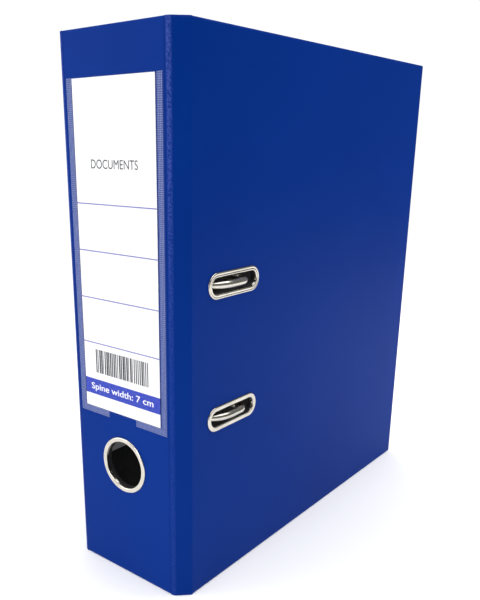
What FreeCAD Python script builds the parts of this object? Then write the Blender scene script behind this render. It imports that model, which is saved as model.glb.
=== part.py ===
"""Lever arch file, standing closed on its foot, as a parametric document.

Frame: X is the thickness, with the slotted front cover at +X; Y is the depth, with the
spine at -Y; Z is up. The origin is the centre of the footprint, at the foot. Millimetres.
"""
import FreeCAD, Part
import math
import os

import Sketcher

Vector = FreeCAD.Vector

# name, value, what it is
SIZES = [
    ("case_height", 284, "foot to head of the case"),
    ("case_depth", 249, "outer face of the spine to the fore edge"),
    ("case_thick", 84, "over both covers"),
    ("bevel", 7, "leg of the slanted hinge corner"),
    ("board_thick", 2.0, "greyboard core"),
    ("foil_thick", 0.3, "outer covering, turned round the edges"),
    ("lining_thick", 0.2, "inner covering"),
    ("hinge_thick", 0.5, "foil and lining together where they flex"),
    ("punch_gap", 0.2, "play between a punched hole and the tube in it"),
    ("finger_bore", 26.4, "clear bore of the finger ring"),
    ("finger_flange", 2.6, "radial width of the finger ring's flange"),
    ("finger_rise", 0.9, "height of the finger ring over the spine"),
    ("finger_height", 66.6, "centre of the finger ring over the foot"),
    ("tube_wall", 0.5, "wall of every eyelet tube"),
    ("washer_thick", 0.6, "backing washers"),
    ("slot_ahead", 5.85, "arch wire to the slot's end, at the posts"),
    ("slot_behind", 1.75, "arch axle to the slot's end, at the spine"),
    ("slot_play", 2.1, "arch wire to each side of its slot"),
    ("slot_flange", 2.6, "width of the slot eyelet's flange"),
    ("slot_rise", 0.9, "height of the slot eyelet over the cover"),
    ("label_margin", 7.5, "card to the edges of the flat spine"),
    ("label_head", 21.8, "card to the head of the case"),
    ("label_thick", 0.3, "label card"),
    ("label_base", 95.6, "foot of the seated card over the foot of the case"),
    ("label_play", 0.7, "card to the pocket's welds"),
    ("pocket_weld", 3.8, "width of the pocket's side and foot welds"),
    ("pocket_film", 0.25, "film over the card"),
    ("pocket_over", 0.3, "head of the pocket over the seated card"),
    ("card_seat", 0.2, "seated card over the foot weld"),
    ("film_play", 0.1, "card to film and to spine"),
    ("notch_width", 20, "thumb notch through the pocket's foot weld"),
    ("mech_height", 131.1, "middle of the mechanism over the foot"),
    ("hole_pitch", 70, "between the two paper posts"),
    ("post_setback", 50.5, "posts from the outer face of the spine"),
    ("post_dia", 5, "paper post"),
    ("post_height", 50, "paper post over the base plate"),
    ("seat_depth", 0.85, "cone seat in the top of a post"),
    ("seat_gap", 0.12, "arch tip to its seat"),
    ("plate_thick", 1.2, "base plate"),
    ("plate_margin", 42, "base plate beyond the posts, along the spine"),
    ("plate_lead", 44, "base plate edge, from the posts towards the spine"),
    ("plate_tail", 8, "base plate edge, from the posts towards the fore edge"),
    ("wire_dia", 4, "arch wire"),
    ("arch_reach", 30.5, "arch axle, from the posts towards the spine"),
    ("arch_rise", 1.4, "middle of the wire over the cover at the crown"),
    ("crown_radius", 17, "spine side of the crown"),
    ("tip_radius", 6, "post side of the crown"),
    ("axle_lift", 1.2, "underside of the axle over the base plate"),
    ("axle_bend", 6, "bend between a leg and the axle"),
    ("crank_reach", 9, "crank off the axle"),
    ("crank_half", 8, "crank arms from the middle"),
    ("crank_bend", 4, "bends of the crank"),
    ("running_gap", 0.05, "radial play of every turning pair"),
    ("saddle_width", 8, "bearing saddle along the axle"),
    ("saddle_wall", 1.2, "bearing saddle"),
    ("saddle_foot", 6, "foot of a saddle to each side"),
    ("contact_gap", 0.08, "roller to the crank, closed"),
    ("pivot_dia", 4, "lever pivot pin"),
    ("ear_half", 12.6, "inner face of an ear from the middle"),
    ("ear_round", 5, "radius of an ear's top"),
    ("cheek_half", 12, "outer face of a lever cheek from the middle"),
    ("lever_thick", 1.2, "lever sheet"),
    ("lever_reach", 38, "lever pivot to the middle of the rolled tip"),
    ("lever_rest", 44, "degrees from the base plate to the closed lever"),
    ("tip_roll", 3, "radius of the lever's rolled tip"),
    ("roller_arm", 8, "lever pivot to roller axle"),
    ("roller_lead", 30, "degrees of the roller arm past square, closed"),
    ("roller_dia", 7, "roller"),
    ("roller_width", 13, "roller"),
    ("roller_pin", 3, "roller axle"),
    ("bar_margin", 12, "compressor bar beyond the posts"),
    ("bar_width", 13, "compressor bar"),
    ("bar_thick", 3, "compressor bar"),
    ("bar_rest", 2, "compressor bar over the base plate"),
    ("bar_play", 0.3, "compressor bar round a post, radial"),
    ("spring_thick", 0.5, "leaf spring"),
    ("spring_width", 8, "leaf spring"),
    ("rivet_dia", 4, "cover rivet shank"),
    ("rivet_head", 9, "cover rivet head"),
    ("head_rise", 1.4, "cover rivet head over the cover"),
    ("rivet_inset", 8, "cover rivet from the edges of the base plate"),
    ("small_rivet", 2.5, "saddle and spring rivet shank"),
    ("rivet_close", 0.8, "closed end of a rivet over the sheet"),
    ("ring_back", 0.6, "finger ring's washer inside the ring's flange"),
    ("slot_back", 0.4, "slot eyelet's washer inside the eyelet's flange"),
    ("plate_corner", 3, "cut corners of the base plate"),
    ("ear_foot", 2, "foot of an ear beyond its round, towards the spine"),
    ("post_round", 0.3, "rounding of a post's rim"),
    ("seat_rim", 0.4, "a post's rim to the mouth of its cone seat"),
    ("spring_gap", 0.05, "leaf spring to the crank"),
    ("eye_land", 2.2, "lever sheet round the roller's axle"),
    ("hub_land", 2.8, "lever sheet round the pivot pin"),
    ("roller_round", 0.4, "chamfer of the roller"),
    ("bar_round", 0.8, "rounding of the compressor bar"),
    ("bar_cut_long", 4, "cut corners of the compressor bar, along it"),
    ("bar_cut_wide", 3, "cut corners of the compressor bar, across it"),
]

doc = FreeCAD.newDocument("lever_arch_file")
sheet = doc.addObject("Spreadsheet::Sheet", "Sizes")
for row, (name, value, meaning) in enumerate(SIZES, start=1):
    sheet.set("A%d" % row, name)
    sheet.set("B%d" % row, str(value))
    sheet.set("C%d" % row, meaning)
    sheet.setAlias("B%d" % row, name)
doc.recompute()


class Size:
    """A size made from the sheet: its expression for bindings, its number for shapes."""

    def __init__(self, text, number):
        self.text = text
        self.number = number

    def __add__(self, other):
        other = size(other)
        return Size("(%s + %s)" % (self.text, other.text), self.number + other.number)

    def __sub__(self, other):
        other = size(other)
        return Size("(%s - %s)" % (self.text, other.text), self.number - other.number)

    def __mul__(self, factor):
        other = size(factor)
        return Size("(%s * %s)" % (self.text, other.text), self.number * other.number)

    def __truediv__(self, factor):
        other = size(factor)
        return Size("(%s / %s)" % (self.text, other.text), self.number / other.number)

    def __neg__(self):
        return Size("(0 - %s)" % self.text, -self.number)


def size(value):
    """The Size of a sheet name, a number or a Size."""
    if isinstance(value, Size):
        return value
    if isinstance(value, str):
        return Size("Sizes." + value, float(sheet.get(value)))
    return Size(repr(float(value)), float(value))


# ---- places that several sub-parts share ----------------------------------------------
WALL = size("foil_thick") + "board_thick" + "lining_thick"
OUT_X = size("case_thick") / 2                       # outer face of the front cover
IN_X = OUT_X - WALL                                  # inner face of the front cover
FLAT_X = OUT_X - "bevel"                             # edge of the flat spine
SPINE_Y = -(size("case_depth") / 2)                  # outer face of the spine
FORE_Y = size("case_depth") / 2                      # fore edge
COVER_Y = SPINE_Y + "bevel"                          # hinge edge of a cover
HEAD_Z = size("case_height")
POST_Y = SPINE_Y + "post_setback"
AXLE_Y = POST_Y - "arch_reach"
SLOT_LOW_Y = AXLE_Y + "slot_behind"                  # clear ends of a cover slot
SLOT_HIGH_Y = POST_Y + size("wire_dia") / 2 + "slot_ahead"
SLOT_Y = (SLOT_LOW_Y + SLOT_HIGH_Y) / 2
SLOT_RADIUS = size("wire_dia") / 2 + "slot_play"
SLOT_HALF = (SLOT_HIGH_Y - SLOT_LOW_Y) / 2 - SLOT_RADIUS
LABEL_HALF = FLAT_X - "label_margin"
LABEL_HEIGHT = size("case_height") - "label_base" - "label_head"
MID_Z = size("mech_height")
LOW_Z = MID_Z - size("hole_pitch") / 2
HIGH_Z = MID_Z + size("hole_pitch") / 2
PLATE_X = -IN_X + "plate_thick"                      # face of the base plate
AXLE_X = PLATE_X + "axle_lift" + size("wire_dia") / 2
CROWN_X = OUT_X + "arch_rise"                        # middle of the wire at the crown
POST_TOP_X = PLATE_X + "post_height"
ROLLER_DROP = Size("(Sizes.roller_arm * cos(Sizes.roller_lead * 1deg))",
                   size("roller_arm").number * math.cos(math.radians(size("roller_lead").number)))
ROLLER_LEAD = Size("(Sizes.roller_arm * sin(Sizes.roller_lead * 1deg))",
                   size("roller_arm").number * math.sin(math.radians(size("roller_lead").number)))
ROLLER_X = AXLE_X + size("wire_dia") / 2 + "contact_gap" + size("roller_dia") / 2
ROLLER_Y = AXLE_Y + "crank_reach"                    # the roller sits on the crossbar
PIVOT_X = ROLLER_X + ROLLER_DROP
PIVOT_Y = ROLLER_Y + ROLLER_LEAD
TUBE = size("tube_wall")
PUNCH = TUBE + "punch_gap"                           # punched hole outside a clear opening

ACROSS = FreeCAD.Rotation(Vector(1, 1, 1), 120)      # local x, y, z lie along Y, Z, X
OUTWARD = FreeCAD.Rotation(Vector(1, 0, 0), 90)      # local z points out of the spine
UPRIGHT = FreeCAD.Rotation()


# ---- helpers --------------------------------------------------------------------------
subparts = []


def bind(thing, **paths):
    """Bind properties to sizes; a double underscore in a name stands for a dot."""
    for path, value in paths.items():
        thing.setExpression(path.replace("__", "."), size(value).text)


def place(thing, x, y, z, turn=UPRIGHT):
    """Set a rotation, and bind the position."""
    thing.Placement = FreeCAD.Placement(Vector(), turn)
    bind(thing, Placement__Base__x=x, Placement__Base__y=y, Placement__Base__z=z)


def finish(thing, label):
    """Name a sub-part and keep it for export."""
    thing.Label = label
    subparts.append(thing)
    return thing


def box(name, low, high):
    """A box between two corners, each given as three sizes."""
    block = doc.addObject("Part::Box", name)
    low = [size(value) for value in low]
    high = [size(value) for value in high]
    bind(block, Length=high[0] - low[0], Width=high[1] - low[1], Height=high[2] - low[2])
    place(block, *low)
    return block


def rod(name, radius, length, start, turn):
    """A cylinder from a start point along the local z of a rotation."""
    cylinder = doc.addObject("Part::Cylinder", name)
    bind(cylinder, Radius=radius, Height=length)
    place(cylinder, *start, turn)
    return cylinder


def cut(name, base, tools):
    """The base less every tool."""
    for number, tool in enumerate(tools, start=1):
        result = doc.addObject("Part::Cut", "%s_cut%d" % (name, number))
        result.Base = base
        result.Tool = tool
        base = result
    return base


def slot_tool(name, start_x, length_x, centre_z, half_length, radius):
    """A stadium along Y, pushed along X: the punch for a cover slot."""
    end = size(start_x) + length_x
    block = box(name + "_middle", (start_x, SLOT_Y - half_length, centre_z - radius),
                (end, SLOT_Y + half_length, centre_z + radius))
    ends = [rod("%s_end%d" % (name, side + 2), radius, length_x,
                (start_x, SLOT_Y + half_length * side, centre_z), ACROSS)
            for side in (-1, 1)]
    tool = doc.addObject("Part::MultiFuse", name)
    tool.Shapes = [block] + ends
    return tool


def new_body(label, x, y, z, turn=UPRIGHT):
    """A placed PartDesign body."""
    body = doc.addObject("PartDesign::Body", label)
    place(body, x, y, z, turn)
    return finish(body, label)


def new_sketch(body, name, plane="XY_Plane", offset=None):
    """A sketch on one of the body's own origin planes, lifted off it by an offset."""
    sketch = body.newObject("Sketcher::SketchObject", name)
    role = [item for item in body.Origin.OriginFeatures if item.Role == plane][0]
    sketch.AttachmentSupport = [(role, "")]
    sketch.MapMode = "FlatFace"
    if offset is not None:
        bind(sketch, AttachmentOffset__Base__z=offset)
    return sketch


def fix(sketch, constraint, value):
    """Add a dimension and bind it."""
    index = sketch.addConstraint(constraint)
    sketch.setExpression("Constraints[%d]" % index, size(value).text)


def draw_polygon(sketch, points):
    """A closed outline of straight edges, each corner bound by its two coordinates."""
    points = [(size(x), size(y)) for x, y in points]
    corners = [Vector(x.number, y.number, 0) for x, y in points]
    count = len(corners)
    edges = [sketch.addGeometry(Part.LineSegment(corners[i], corners[(i + 1) % count]), False)
             for i in range(count)]
    for i in range(count):
        sketch.addConstraint(Sketcher.Constraint(
            "Coincident", edges[i], 2, edges[(i + 1) % count], 1))
    for edge, (x, y) in zip(edges, points):
        fix(sketch, Sketcher.Constraint("DistanceX", -1, 1, edge, 1, x.number), x)
        fix(sketch, Sketcher.Constraint("DistanceY", -1, 1, edge, 1, y.number), y)


def draw_circle(sketch, x, y, radius):
    """A circle bound by its centre and radius."""
    x, y, radius = size(x), size(y), size(radius)
    ring = sketch.addGeometry(Part.Circle(Vector(x.number, y.number, 0), Vector(0, 0, 1),
                                          radius.number), False)
    fix(sketch, Sketcher.Constraint("Radius", ring, radius.number), radius)
    fix(sketch, Sketcher.Constraint("DistanceX", -1, 1, ring, 3, x.number), x)
    fix(sketch, Sketcher.Constraint("DistanceY", -1, 1, ring, 3, y.number), y)


def draw_stadium(sketch, half_length, radius):
    """A stadium along the sketch's x, centred on its origin."""
    half, radius = size(half_length), size(radius)
    a, r = half.number, radius.number
    top = sketch.addGeometry(Part.LineSegment(Vector(a, r, 0), Vector(-a, r, 0)), False)
    foot = sketch.addGeometry(Part.LineSegment(Vector(-a, -r, 0), Vector(a, -r, 0)), False)
    right = sketch.addGeometry(Part.ArcOfCircle(
        Part.Circle(Vector(a, 0, 0), Vector(0, 0, 1), r), -math.pi / 2, math.pi / 2), False)
    left = sketch.addGeometry(Part.ArcOfCircle(
        Part.Circle(Vector(-a, 0, 0), Vector(0, 0, 1), r), math.pi / 2, 3 * math.pi / 2), False)
    for pair in ((right, 2, top, 1), (top, 2, left, 1), (left, 2, foot, 1), (foot, 2, right, 1)):
        sketch.addConstraint(Sketcher.Constraint("Tangent", *pair))
    fix(sketch, Sketcher.Constraint("Radius", right, r), radius)
    fix(sketch, Sketcher.Constraint("DistanceX", -1, 1, right, 3, a), half)
    fix(sketch, Sketcher.Constraint("DistanceX", left, 3, -1, 1, a), half)
    sketch.addConstraint(Sketcher.Constraint("PointOnObject", right, 3, -1))
    sketch.addConstraint(Sketcher.Constraint("PointOnObject", left, 3, -1))


def pad(body, sketch, length, both_ways=False, backwards=False):
    """Push a sketch into a solid."""
    feature = body.newObject("PartDesign::Pad", sketch.Name + "_pad")
    feature.Profile = sketch
    if both_ways:
        feature.SideType = "Symmetric"
    feature.Reversed = backwards
    bind(feature, Length=length)
    sketch.Visibility = False
    return feature


def pocket(body, sketch, both_ways=True):
    """Cut a sketch through the whole solid."""
    feature = body.newObject("PartDesign::Pocket", sketch.Name + "_pocket")
    feature.Profile = sketch
    feature.Type = "ThroughAll"
    if both_ways:
        feature.SideType = "Symmetric"
    sketch.Visibility = False
    return feature


def spin(body, points):
    """A solid of revolution about the body's z: points are (radius, height)."""
    sketch = new_sketch(body, body.Name + "_profile", "XZ_Plane")
    draw_polygon(sketch, points)
    feature = body.newObject("PartDesign::Revolution", body.Name + "_spin")
    feature.Profile = sketch
    feature.ReferenceAxis = (sketch, ["V_Axis"])
    feature.Angle = 360
    sketch.Visibility = False
    return feature


def round_edges(body, feature, radius, wanted):
    """Fillet the edges of a feature that a test picks."""
    doc.recompute()
    names = ["Edge%d" % number for number, edge in enumerate(feature.Shape.Edges, start=1)
             if wanted(edge)]
    fillet = body.newObject("PartDesign::Fillet", feature.Name + "_round")
    fillet.Base = (feature, names)
    bind(fillet, Radius=radius)
    return fillet


def made_shape(label, shape):
    """A sub-part whose shape is worked out from the sheet in code."""
    thing = doc.addObject("Part::Feature", label)
    thing.Shape = shape
    thing.Placement = FreeCAD.Placement()
    return finish(thing, label)


# ---- the case -------------------------------------------------------------------------
def spine_panel():
    """Board, outer foil and lining of the spine, punched for the finger ring."""
    foil, board = size("foil_thick"), size("board_thick")
    inner_y = SPINE_Y + WALL
    hole = size("finger_bore") / 2 + PUNCH
    start = (0, inner_y + 1, "finger_height")

    def punch(name):
        return rod(name, hole, WALL + 2, start, OUTWARD)

    skin = box("spine_skin", (-FLAT_X, SPINE_Y, 0), (FLAT_X, inner_y, HEAD_Z))
    hollow = box("spine_hollow", (-FLAT_X - 1, SPINE_Y + foil, foil),
                 (FLAT_X + 1, inner_y + 1, HEAD_Z - foil))
    finish(cut("spine_foil", skin, [hollow, punch("spine_foil_punch")]), "spine_foil")
    core = box("spine_core", (-FLAT_X, SPINE_Y + foil, foil),
               (FLAT_X, SPINE_Y + foil + board, HEAD_Z - foil))
    finish(cut("spine_board", core, [punch("spine_board_punch")]), "spine_board")
    inside = box("spine_inside", (-FLAT_X, SPINE_Y + foil + board, foil),
                 (FLAT_X, inner_y, HEAD_Z - foil))
    finish(cut("spine_lining", inside, [punch("spine_lining_punch")]), "spine_lining")


def cover_panel(name, side, punches):
    """Board, outer foil and lining of a cover; side is +1 for the front, -1 for the back."""
    foil, board = size("foil_thick"), size("board_thick")

    def slab(part, outer_gap, inner_gap, edge_gap, spare=0):
        """A slab between two depths under the outer face, short of the edges by a gap."""
        near = (OUT_X - outer_gap) * side
        far = (OUT_X - inner_gap) * side
        low_x, high_x = (far, near) if side > 0 else (near, far)
        return box("%s_%s" % (name, part), (low_x, COVER_Y - spare, edge_gap),
                   (high_x, FORE_Y - edge_gap, HEAD_Z - edge_gap))

    hollow = slab("hollow", foil, WALL + 1, foil, 1)
    finish(cut(name + "_foil", slab("skin", 0, WALL, 0), [hollow] + punches("foil")),
           name + "_foil")
    core = slab("core", foil, foil + board, foil)
    finish(cut(name + "_board", core, punches("board")) if punches("board") else core,
           name + "_board")
    inside = slab("inside", foil + board, WALL, foil)
    finish(cut(name + "_lining", inside, punches("lining")) if punches("lining") else inside,
           name + "_lining")


def front_punches(part):
    """The two slot punches for one layer of the front cover."""
    return [slot_tool("%s_slot_%s" % (part, name), IN_X - 1, WALL + 2, z, SLOT_HALF,
                      SLOT_RADIUS + PUNCH)
            for name, z in (("lower", LOW_Z), ("upper", HIGH_Z))]


def hinge_strip(label, side):
    """The bare foil across a hinge corner, its ends flush on the spine and the cover."""
    thick = size("hinge_thick") * math.sqrt(2)
    body = new_body(label, 0, 0, size("foil_thick"))
    sketch = new_sketch(body, label + "_section")
    draw_polygon(sketch, [(FLAT_X * side, SPINE_Y), (OUT_X * side, COVER_Y),
                          ((OUT_X - thick) * side, COVER_Y),
                          (FLAT_X * side, SPINE_Y + thick)])
    pad(body, sketch, HEAD_Z - size("foil_thick") * 2)


def finger_ring():
    """The finger ring: a rounded flange on the spine and a tube through it."""
    bore = size("finger_bore") / 2
    tube = bore + TUBE
    rim = bore + "finger_flange"
    rise = size("finger_rise")
    back = -(WALL + "washer_thick")
    body = new_body("finger_ring", 0, SPINE_Y, "finger_height", OUTWARD)
    spin(body, [(bore, back), (tube, back), (tube, 0), (rim, 0), (rim, rise * 0.35),
                (rim - 0.5, rise * 0.8), (rim - 1.1, rise), (bore + 0.7, rise),
                (bore + 0.2, rise * 0.8), (bore, rise * 0.35)])
    washer = new_body("finger_washer", 0, SPINE_Y + WALL, "finger_height", OUTWARD)
    spin(washer, [(tube, -size("washer_thick")), (rim - "ring_back", -size("washer_thick")),
                  (rim - "ring_back", 0), (tube, 0)])


def slot_eyelet(name, centre_z):
    """A stadium eyelet in the front cover and the washer that it is closed on."""
    half, clear = SLOT_HALF, SLOT_RADIUS
    back = WALL + "washer_thick"
    body = new_body("slot_eyelet_" + name, OUT_X, SLOT_Y, centre_z, ACROSS)
    flange = new_sketch(body, "flange_" + name)
    draw_stadium(flange, half, clear + "slot_flange")
    rim = pad(body, flange, "slot_rise")
    rise = size("slot_rise").number
    round_edges(body, rim, size("slot_rise") * 0.6,
                lambda edge: all(abs(v.Point.z - rise) < 1e-6 for v in edge.Vertexes))
    tube = new_sketch(body, "tube_" + name)
    draw_stadium(tube, half, clear + TUBE)
    pad(body, tube, back, backwards=True)
    opening = new_sketch(body, "opening_" + name)
    draw_stadium(opening, half, clear)
    pocket(body, opening)
    washer = new_body("slot_washer_" + name, IN_X - "washer_thick", SLOT_Y, centre_z, ACROSS)
    outline = new_sketch(washer, "washer_outline_" + name)
    draw_stadium(outline, half, clear + size("slot_flange") - "slot_back")
    pad(washer, outline, "washer_thick")
    hole = new_sketch(washer, "washer_hole_" + name)
    draw_stadium(hole, half, clear + TUBE)
    pocket(washer, hole)


def label_pocket():
    """The clear pocket welded on the spine, open at its head, and the card in it."""
    gap = size("film_play")
    depth = size("label_thick") + gap * 2
    cavity = LABEL_HALF + "label_play"
    side = cavity + "pocket_weld"
    foot = size("label_base") - "card_seat"
    low = foot - "pocket_weld"
    head = size("label_base") + LABEL_HEIGHT + "pocket_over"
    film = box("pocket_film_sheet", (-side, SPINE_Y - depth - "pocket_film", low),
               (side, SPINE_Y, head))
    hollow = box("pocket_hollow", (-cavity, SPINE_Y - depth, foot),
                 (cavity, SPINE_Y + 1, head + 1))
    notch = box("pocket_notch", (-size("notch_width") / 2, SPINE_Y - depth - 1, low - 1),
                (size("notch_width") / 2, SPINE_Y + 1, foot + 1))
    finish(cut("label_pocket", film, [hollow, notch]), "label_pocket")
    card = new_body("label_card", 0, SPINE_Y - gap - "label_thick", "label_base")
    sketch = new_sketch(card, "card_section")
    draw_polygon(sketch, [(-LABEL_HALF, 0), (LABEL_HALF, 0), (LABEL_HALF, "label_thick"),
                          (-LABEL_HALF, "label_thick")])
    pad(card, sketch, LABEL_HEIGHT)


# ---- the mechanism --------------------------------------------------------------------
def plate_edges():
    """The base plate's edges from the posts' line and from its middle."""
    return -size("plate_lead"), size("plate_tail"), size("hole_pitch") / 2 + "plate_margin"


def rivet_places():
    """Centres of the four cover rivets, from the posts' line and from the middle."""
    low, high, half = plate_edges()
    inset = size("rivet_inset")
    return [(y, z) for y in (low + inset, high - inset) for z in (-(half - inset), half - inset)]


def small_places():
    """Centres of the saddle rivets and of the spring rivet, from the same lines."""
    reach = size("wire_dia") / 2 + "running_gap" + "saddle_wall" + size("saddle_foot") / 2
    axle = -size("arch_reach")
    saddles = [(axle + reach * way, saddle_middle() * end)
               for way in (-1, 1) for end in (-1, 1)]
    return saddles + [(axle - "crank_reach", size(0))]


def saddle_middle():
    """The middle of a saddle, half way between the crank and a leg's bend."""
    inner = size("crank_half") + "crank_bend"
    outer = size("hole_pitch") / 2 - "axle_bend"
    return (inner + outer) / 2


def base_plate():
    """The stamped plate with its two ears for the lever's pin."""
    low, high, half = plate_edges()
    corner = size("plate_corner")
    body = new_body("base_plate", -IN_X, POST_Y, MID_Z, ACROSS)
    outline = new_sketch(body, "plate_outline")
    draw_polygon(outline, [(low + corner, -half), (high - corner, -half),
                           (high, -half + corner), (high, half - corner),
                           (high - corner, half), (low + corner, half),
                           (low, half - corner), (low, -half + corner)])
    pad(body, outline, "plate_thick")
    centre, top = PIVOT_Y - POST_Y, PIVOT_X + IN_X
    wide = size("ear_round")
    slope = wide * 0.55
    for name, way in (("ear_upper", 1), ("ear_lower", -1)):
        ear = new_sketch(body, name, "XZ_Plane", -size("ear_half") * way)
        draw_polygon(ear, [(centre - wide - "ear_foot", size("plate_thick") / 2),
                           (centre + wide, size("plate_thick") / 2),
                           (centre + wide, top + wide * 0.4), (centre + slope, top + wide),
                           (centre - slope, top + wide), (centre - wide, top + wide * 0.4)])
        pad(body, ear, "lever_thick", backwards=way > 0)
    pin = new_sketch(body, "pin_hole", "XZ_Plane")
    draw_circle(pin, centre, top, size("pivot_dia") / 2)
    pocket(body, pin)
    holes = new_sketch(body, "rivet_holes")
    for y, z in rivet_places():
        draw_circle(holes, y, z, size("rivet_dia") / 2)
    for y, z in small_places():
        draw_circle(holes, y, z, size("small_rivet") / 2)
    pocket(body, holes)


def paper_post(name, centre_z):
    """A paper post with a cone seat in its top for the arch's tip."""
    radius = size("post_dia") / 2
    body = new_body("paper_post_" + name, PLATE_X, POST_Y, centre_z, ACROSS)
    top = size("post_height")
    spin(body, [(0, 0), (radius, 0), (radius, top - "post_round"), (radius - "post_round", top),
                (radius - "seat_rim", top), (0, top - "seat_depth")])


def arch_path():
    """The middle line of the arch wire, tip to tip, as straight runs and tangent arcs."""
    def at(x, y, z):
        return Vector(size(x).number, size(y).number, size(z).number)

    axle = size("axle_bend")
    bend = size("crank_bend")
    tip = size("tip_radius")
    crown = size("crown_radius")
    crank_y = AXLE_Y + "crank_reach"
    half = size("hole_pitch") / 2
    points = []
    for side in (-1, 1):
        def z(offset):
            return MID_Z + size(offset) * side
        run = [(at(POST_TOP_X + "seat_gap", POST_Y, z(half)), 0),
               (at(CROWN_X, POST_Y, z(half)), tip.number),
               (at(CROWN_X, AXLE_Y, z(half)), crown.number),
               (at(AXLE_X, AXLE_Y, z(half)), axle.number),
               (at(AXLE_X, AXLE_Y, z("crank_half")), bend.number),
               (at(AXLE_X, crank_y, z("crank_half")), bend.number)]
        points += run if side < 0 else run[::-1]
    return rounded_path(points)


def rounded_path(points):
    """A wire through the points, each corner rounded to its own radius."""
    edges = []
    start = points[0][0]
    for (before, _), (corner, radius), (after, _) in zip(points, points[1:], points[2:]):
        arrive = (corner - before).normalize()
        leave = (after - corner).normalize()
        turn = arrive.getAngle(leave)
        back = radius * math.tan(turn / 2)
        first = corner - arrive * back
        last = corner + leave * back
        inward = (leave - arrive).normalize()
        middle = corner + inward * (radius / math.cos(turn / 2) - radius)
        edges.append(Part.LineSegment(start, first).toShape())
        edges.append(Part.Arc(first, middle, last).toShape())
        start = last
    edges.append(Part.LineSegment(start, points[-1][0]).toShape())
    return Part.Wire(edges)


def arch_yoke():
    """Both arches, their axle and the crank: one bent wire with a cone on each tip."""
    path = arch_path()
    radius = size("wire_dia").number / 2
    start = path.Vertexes[0].Point
    ring = Part.Wire(Part.makeCircle(radius, start, Vector(1, 0, 0)))
    shape = path.makePipeShell([ring], True, False)
    cone_height = (size("seat_depth") - "seat_gap").number
    cone_wide = size("post_dia").number / 2 - size("seat_rim").number - 2 * size("seat_gap").number
    for z in (LOW_Z, HIGH_Z):
        foot = Vector(start.x, start.y, z.number)
        cone = Part.makeCone(cone_wide, 0.15, cone_height, foot, Vector(-1, 0, 0))
        shape = shape.fuse(cone)
    made_shape("arch_yoke", shape.removeSplitter())


def axle_saddle(name, side):
    """A saddle that holds the arch axle down on the base plate."""
    hole = size("wire_dia") / 2 + "running_gap"
    outer = hole + "saddle_wall"
    width = size("saddle_width")
    start = MID_Z + saddle_middle() * side - width / 2
    strap = box("strap_" + name, (PLATE_X, AXLE_Y - outer, start),
                (AXLE_X, AXLE_Y + outer, start + width))
    feet = box("feet_" + name, (PLATE_X, AXLE_Y - outer - "saddle_foot", start),
               (PLATE_X + "saddle_wall", AXLE_Y + outer + "saddle_foot", start + width))
    bow = rod("bow_" + name, outer, width, (AXLE_X, AXLE_Y, start), UPRIGHT)
    whole = doc.addObject("Part::MultiFuse", "saddle_body_" + name)
    whole.Shapes = [strap, feet, bow]
    tunnel = rod("tunnel_" + name, hole, width + 2, (AXLE_X, AXLE_Y, start - 1), UPRIGHT)
    mouth = box("mouth_" + name, (PLATE_X - 1, AXLE_Y - hole, start - 1),
                (AXLE_X, AXLE_Y + hole, start + width + 1))
    reach = outer + size("saddle_foot") / 2
    drills = [rod("drill_%s%d" % (name, way + 1), size("small_rivet") / 2, 6,
                  (PLATE_X - 1, AXLE_Y + reach * way, start + width / 2), ACROSS)
              for way in (-1, 1)]
    finish(cut("axle_saddle_" + name, whole, [tunnel, mouth] + drills), "axle_saddle_" + name)


def leaf_spring():
    """The leaf that lifts the crank: flat under its rivet, its tongue under the crossbar."""
    thick = size("spring_thick").number
    half = size("spring_width").number / 2
    x = PLATE_X.number
    crank_y = (AXLE_Y + "crank_reach").number
    rivet_y = (AXLE_Y - "crank_reach").number
    lift = (size("axle_lift") - "spring_thick" - "spring_gap").number
    root_y = rivet_y - 4
    flat_y = rivet_y + 5
    outline = [Vector(x, root_y, 0), Vector(x, flat_y, 0), Vector(x + lift, crank_y - 1, 0),
               Vector(x + lift, crank_y + 2, 0), Vector(x + lift + thick, crank_y + 2, 0),
               Vector(x + lift + thick, crank_y - 1, 0), Vector(x + thick, flat_y, 0),
               Vector(x + thick, root_y, 0)]
    face = Part.Face(Part.makePolygon(outline + outline[:1]))
    face.translate(Vector(0, 0, MID_Z.number - half))
    blade = face.extrude(Vector(0, 0, 2 * half))
    hole = Part.makeCylinder(size("small_rivet").number / 2, 4,
                             Vector(x - 1, rivet_y, MID_Z.number), Vector(1, 0, 0))
    made_shape("leaf_spring", blade.cut(hole))


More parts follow.
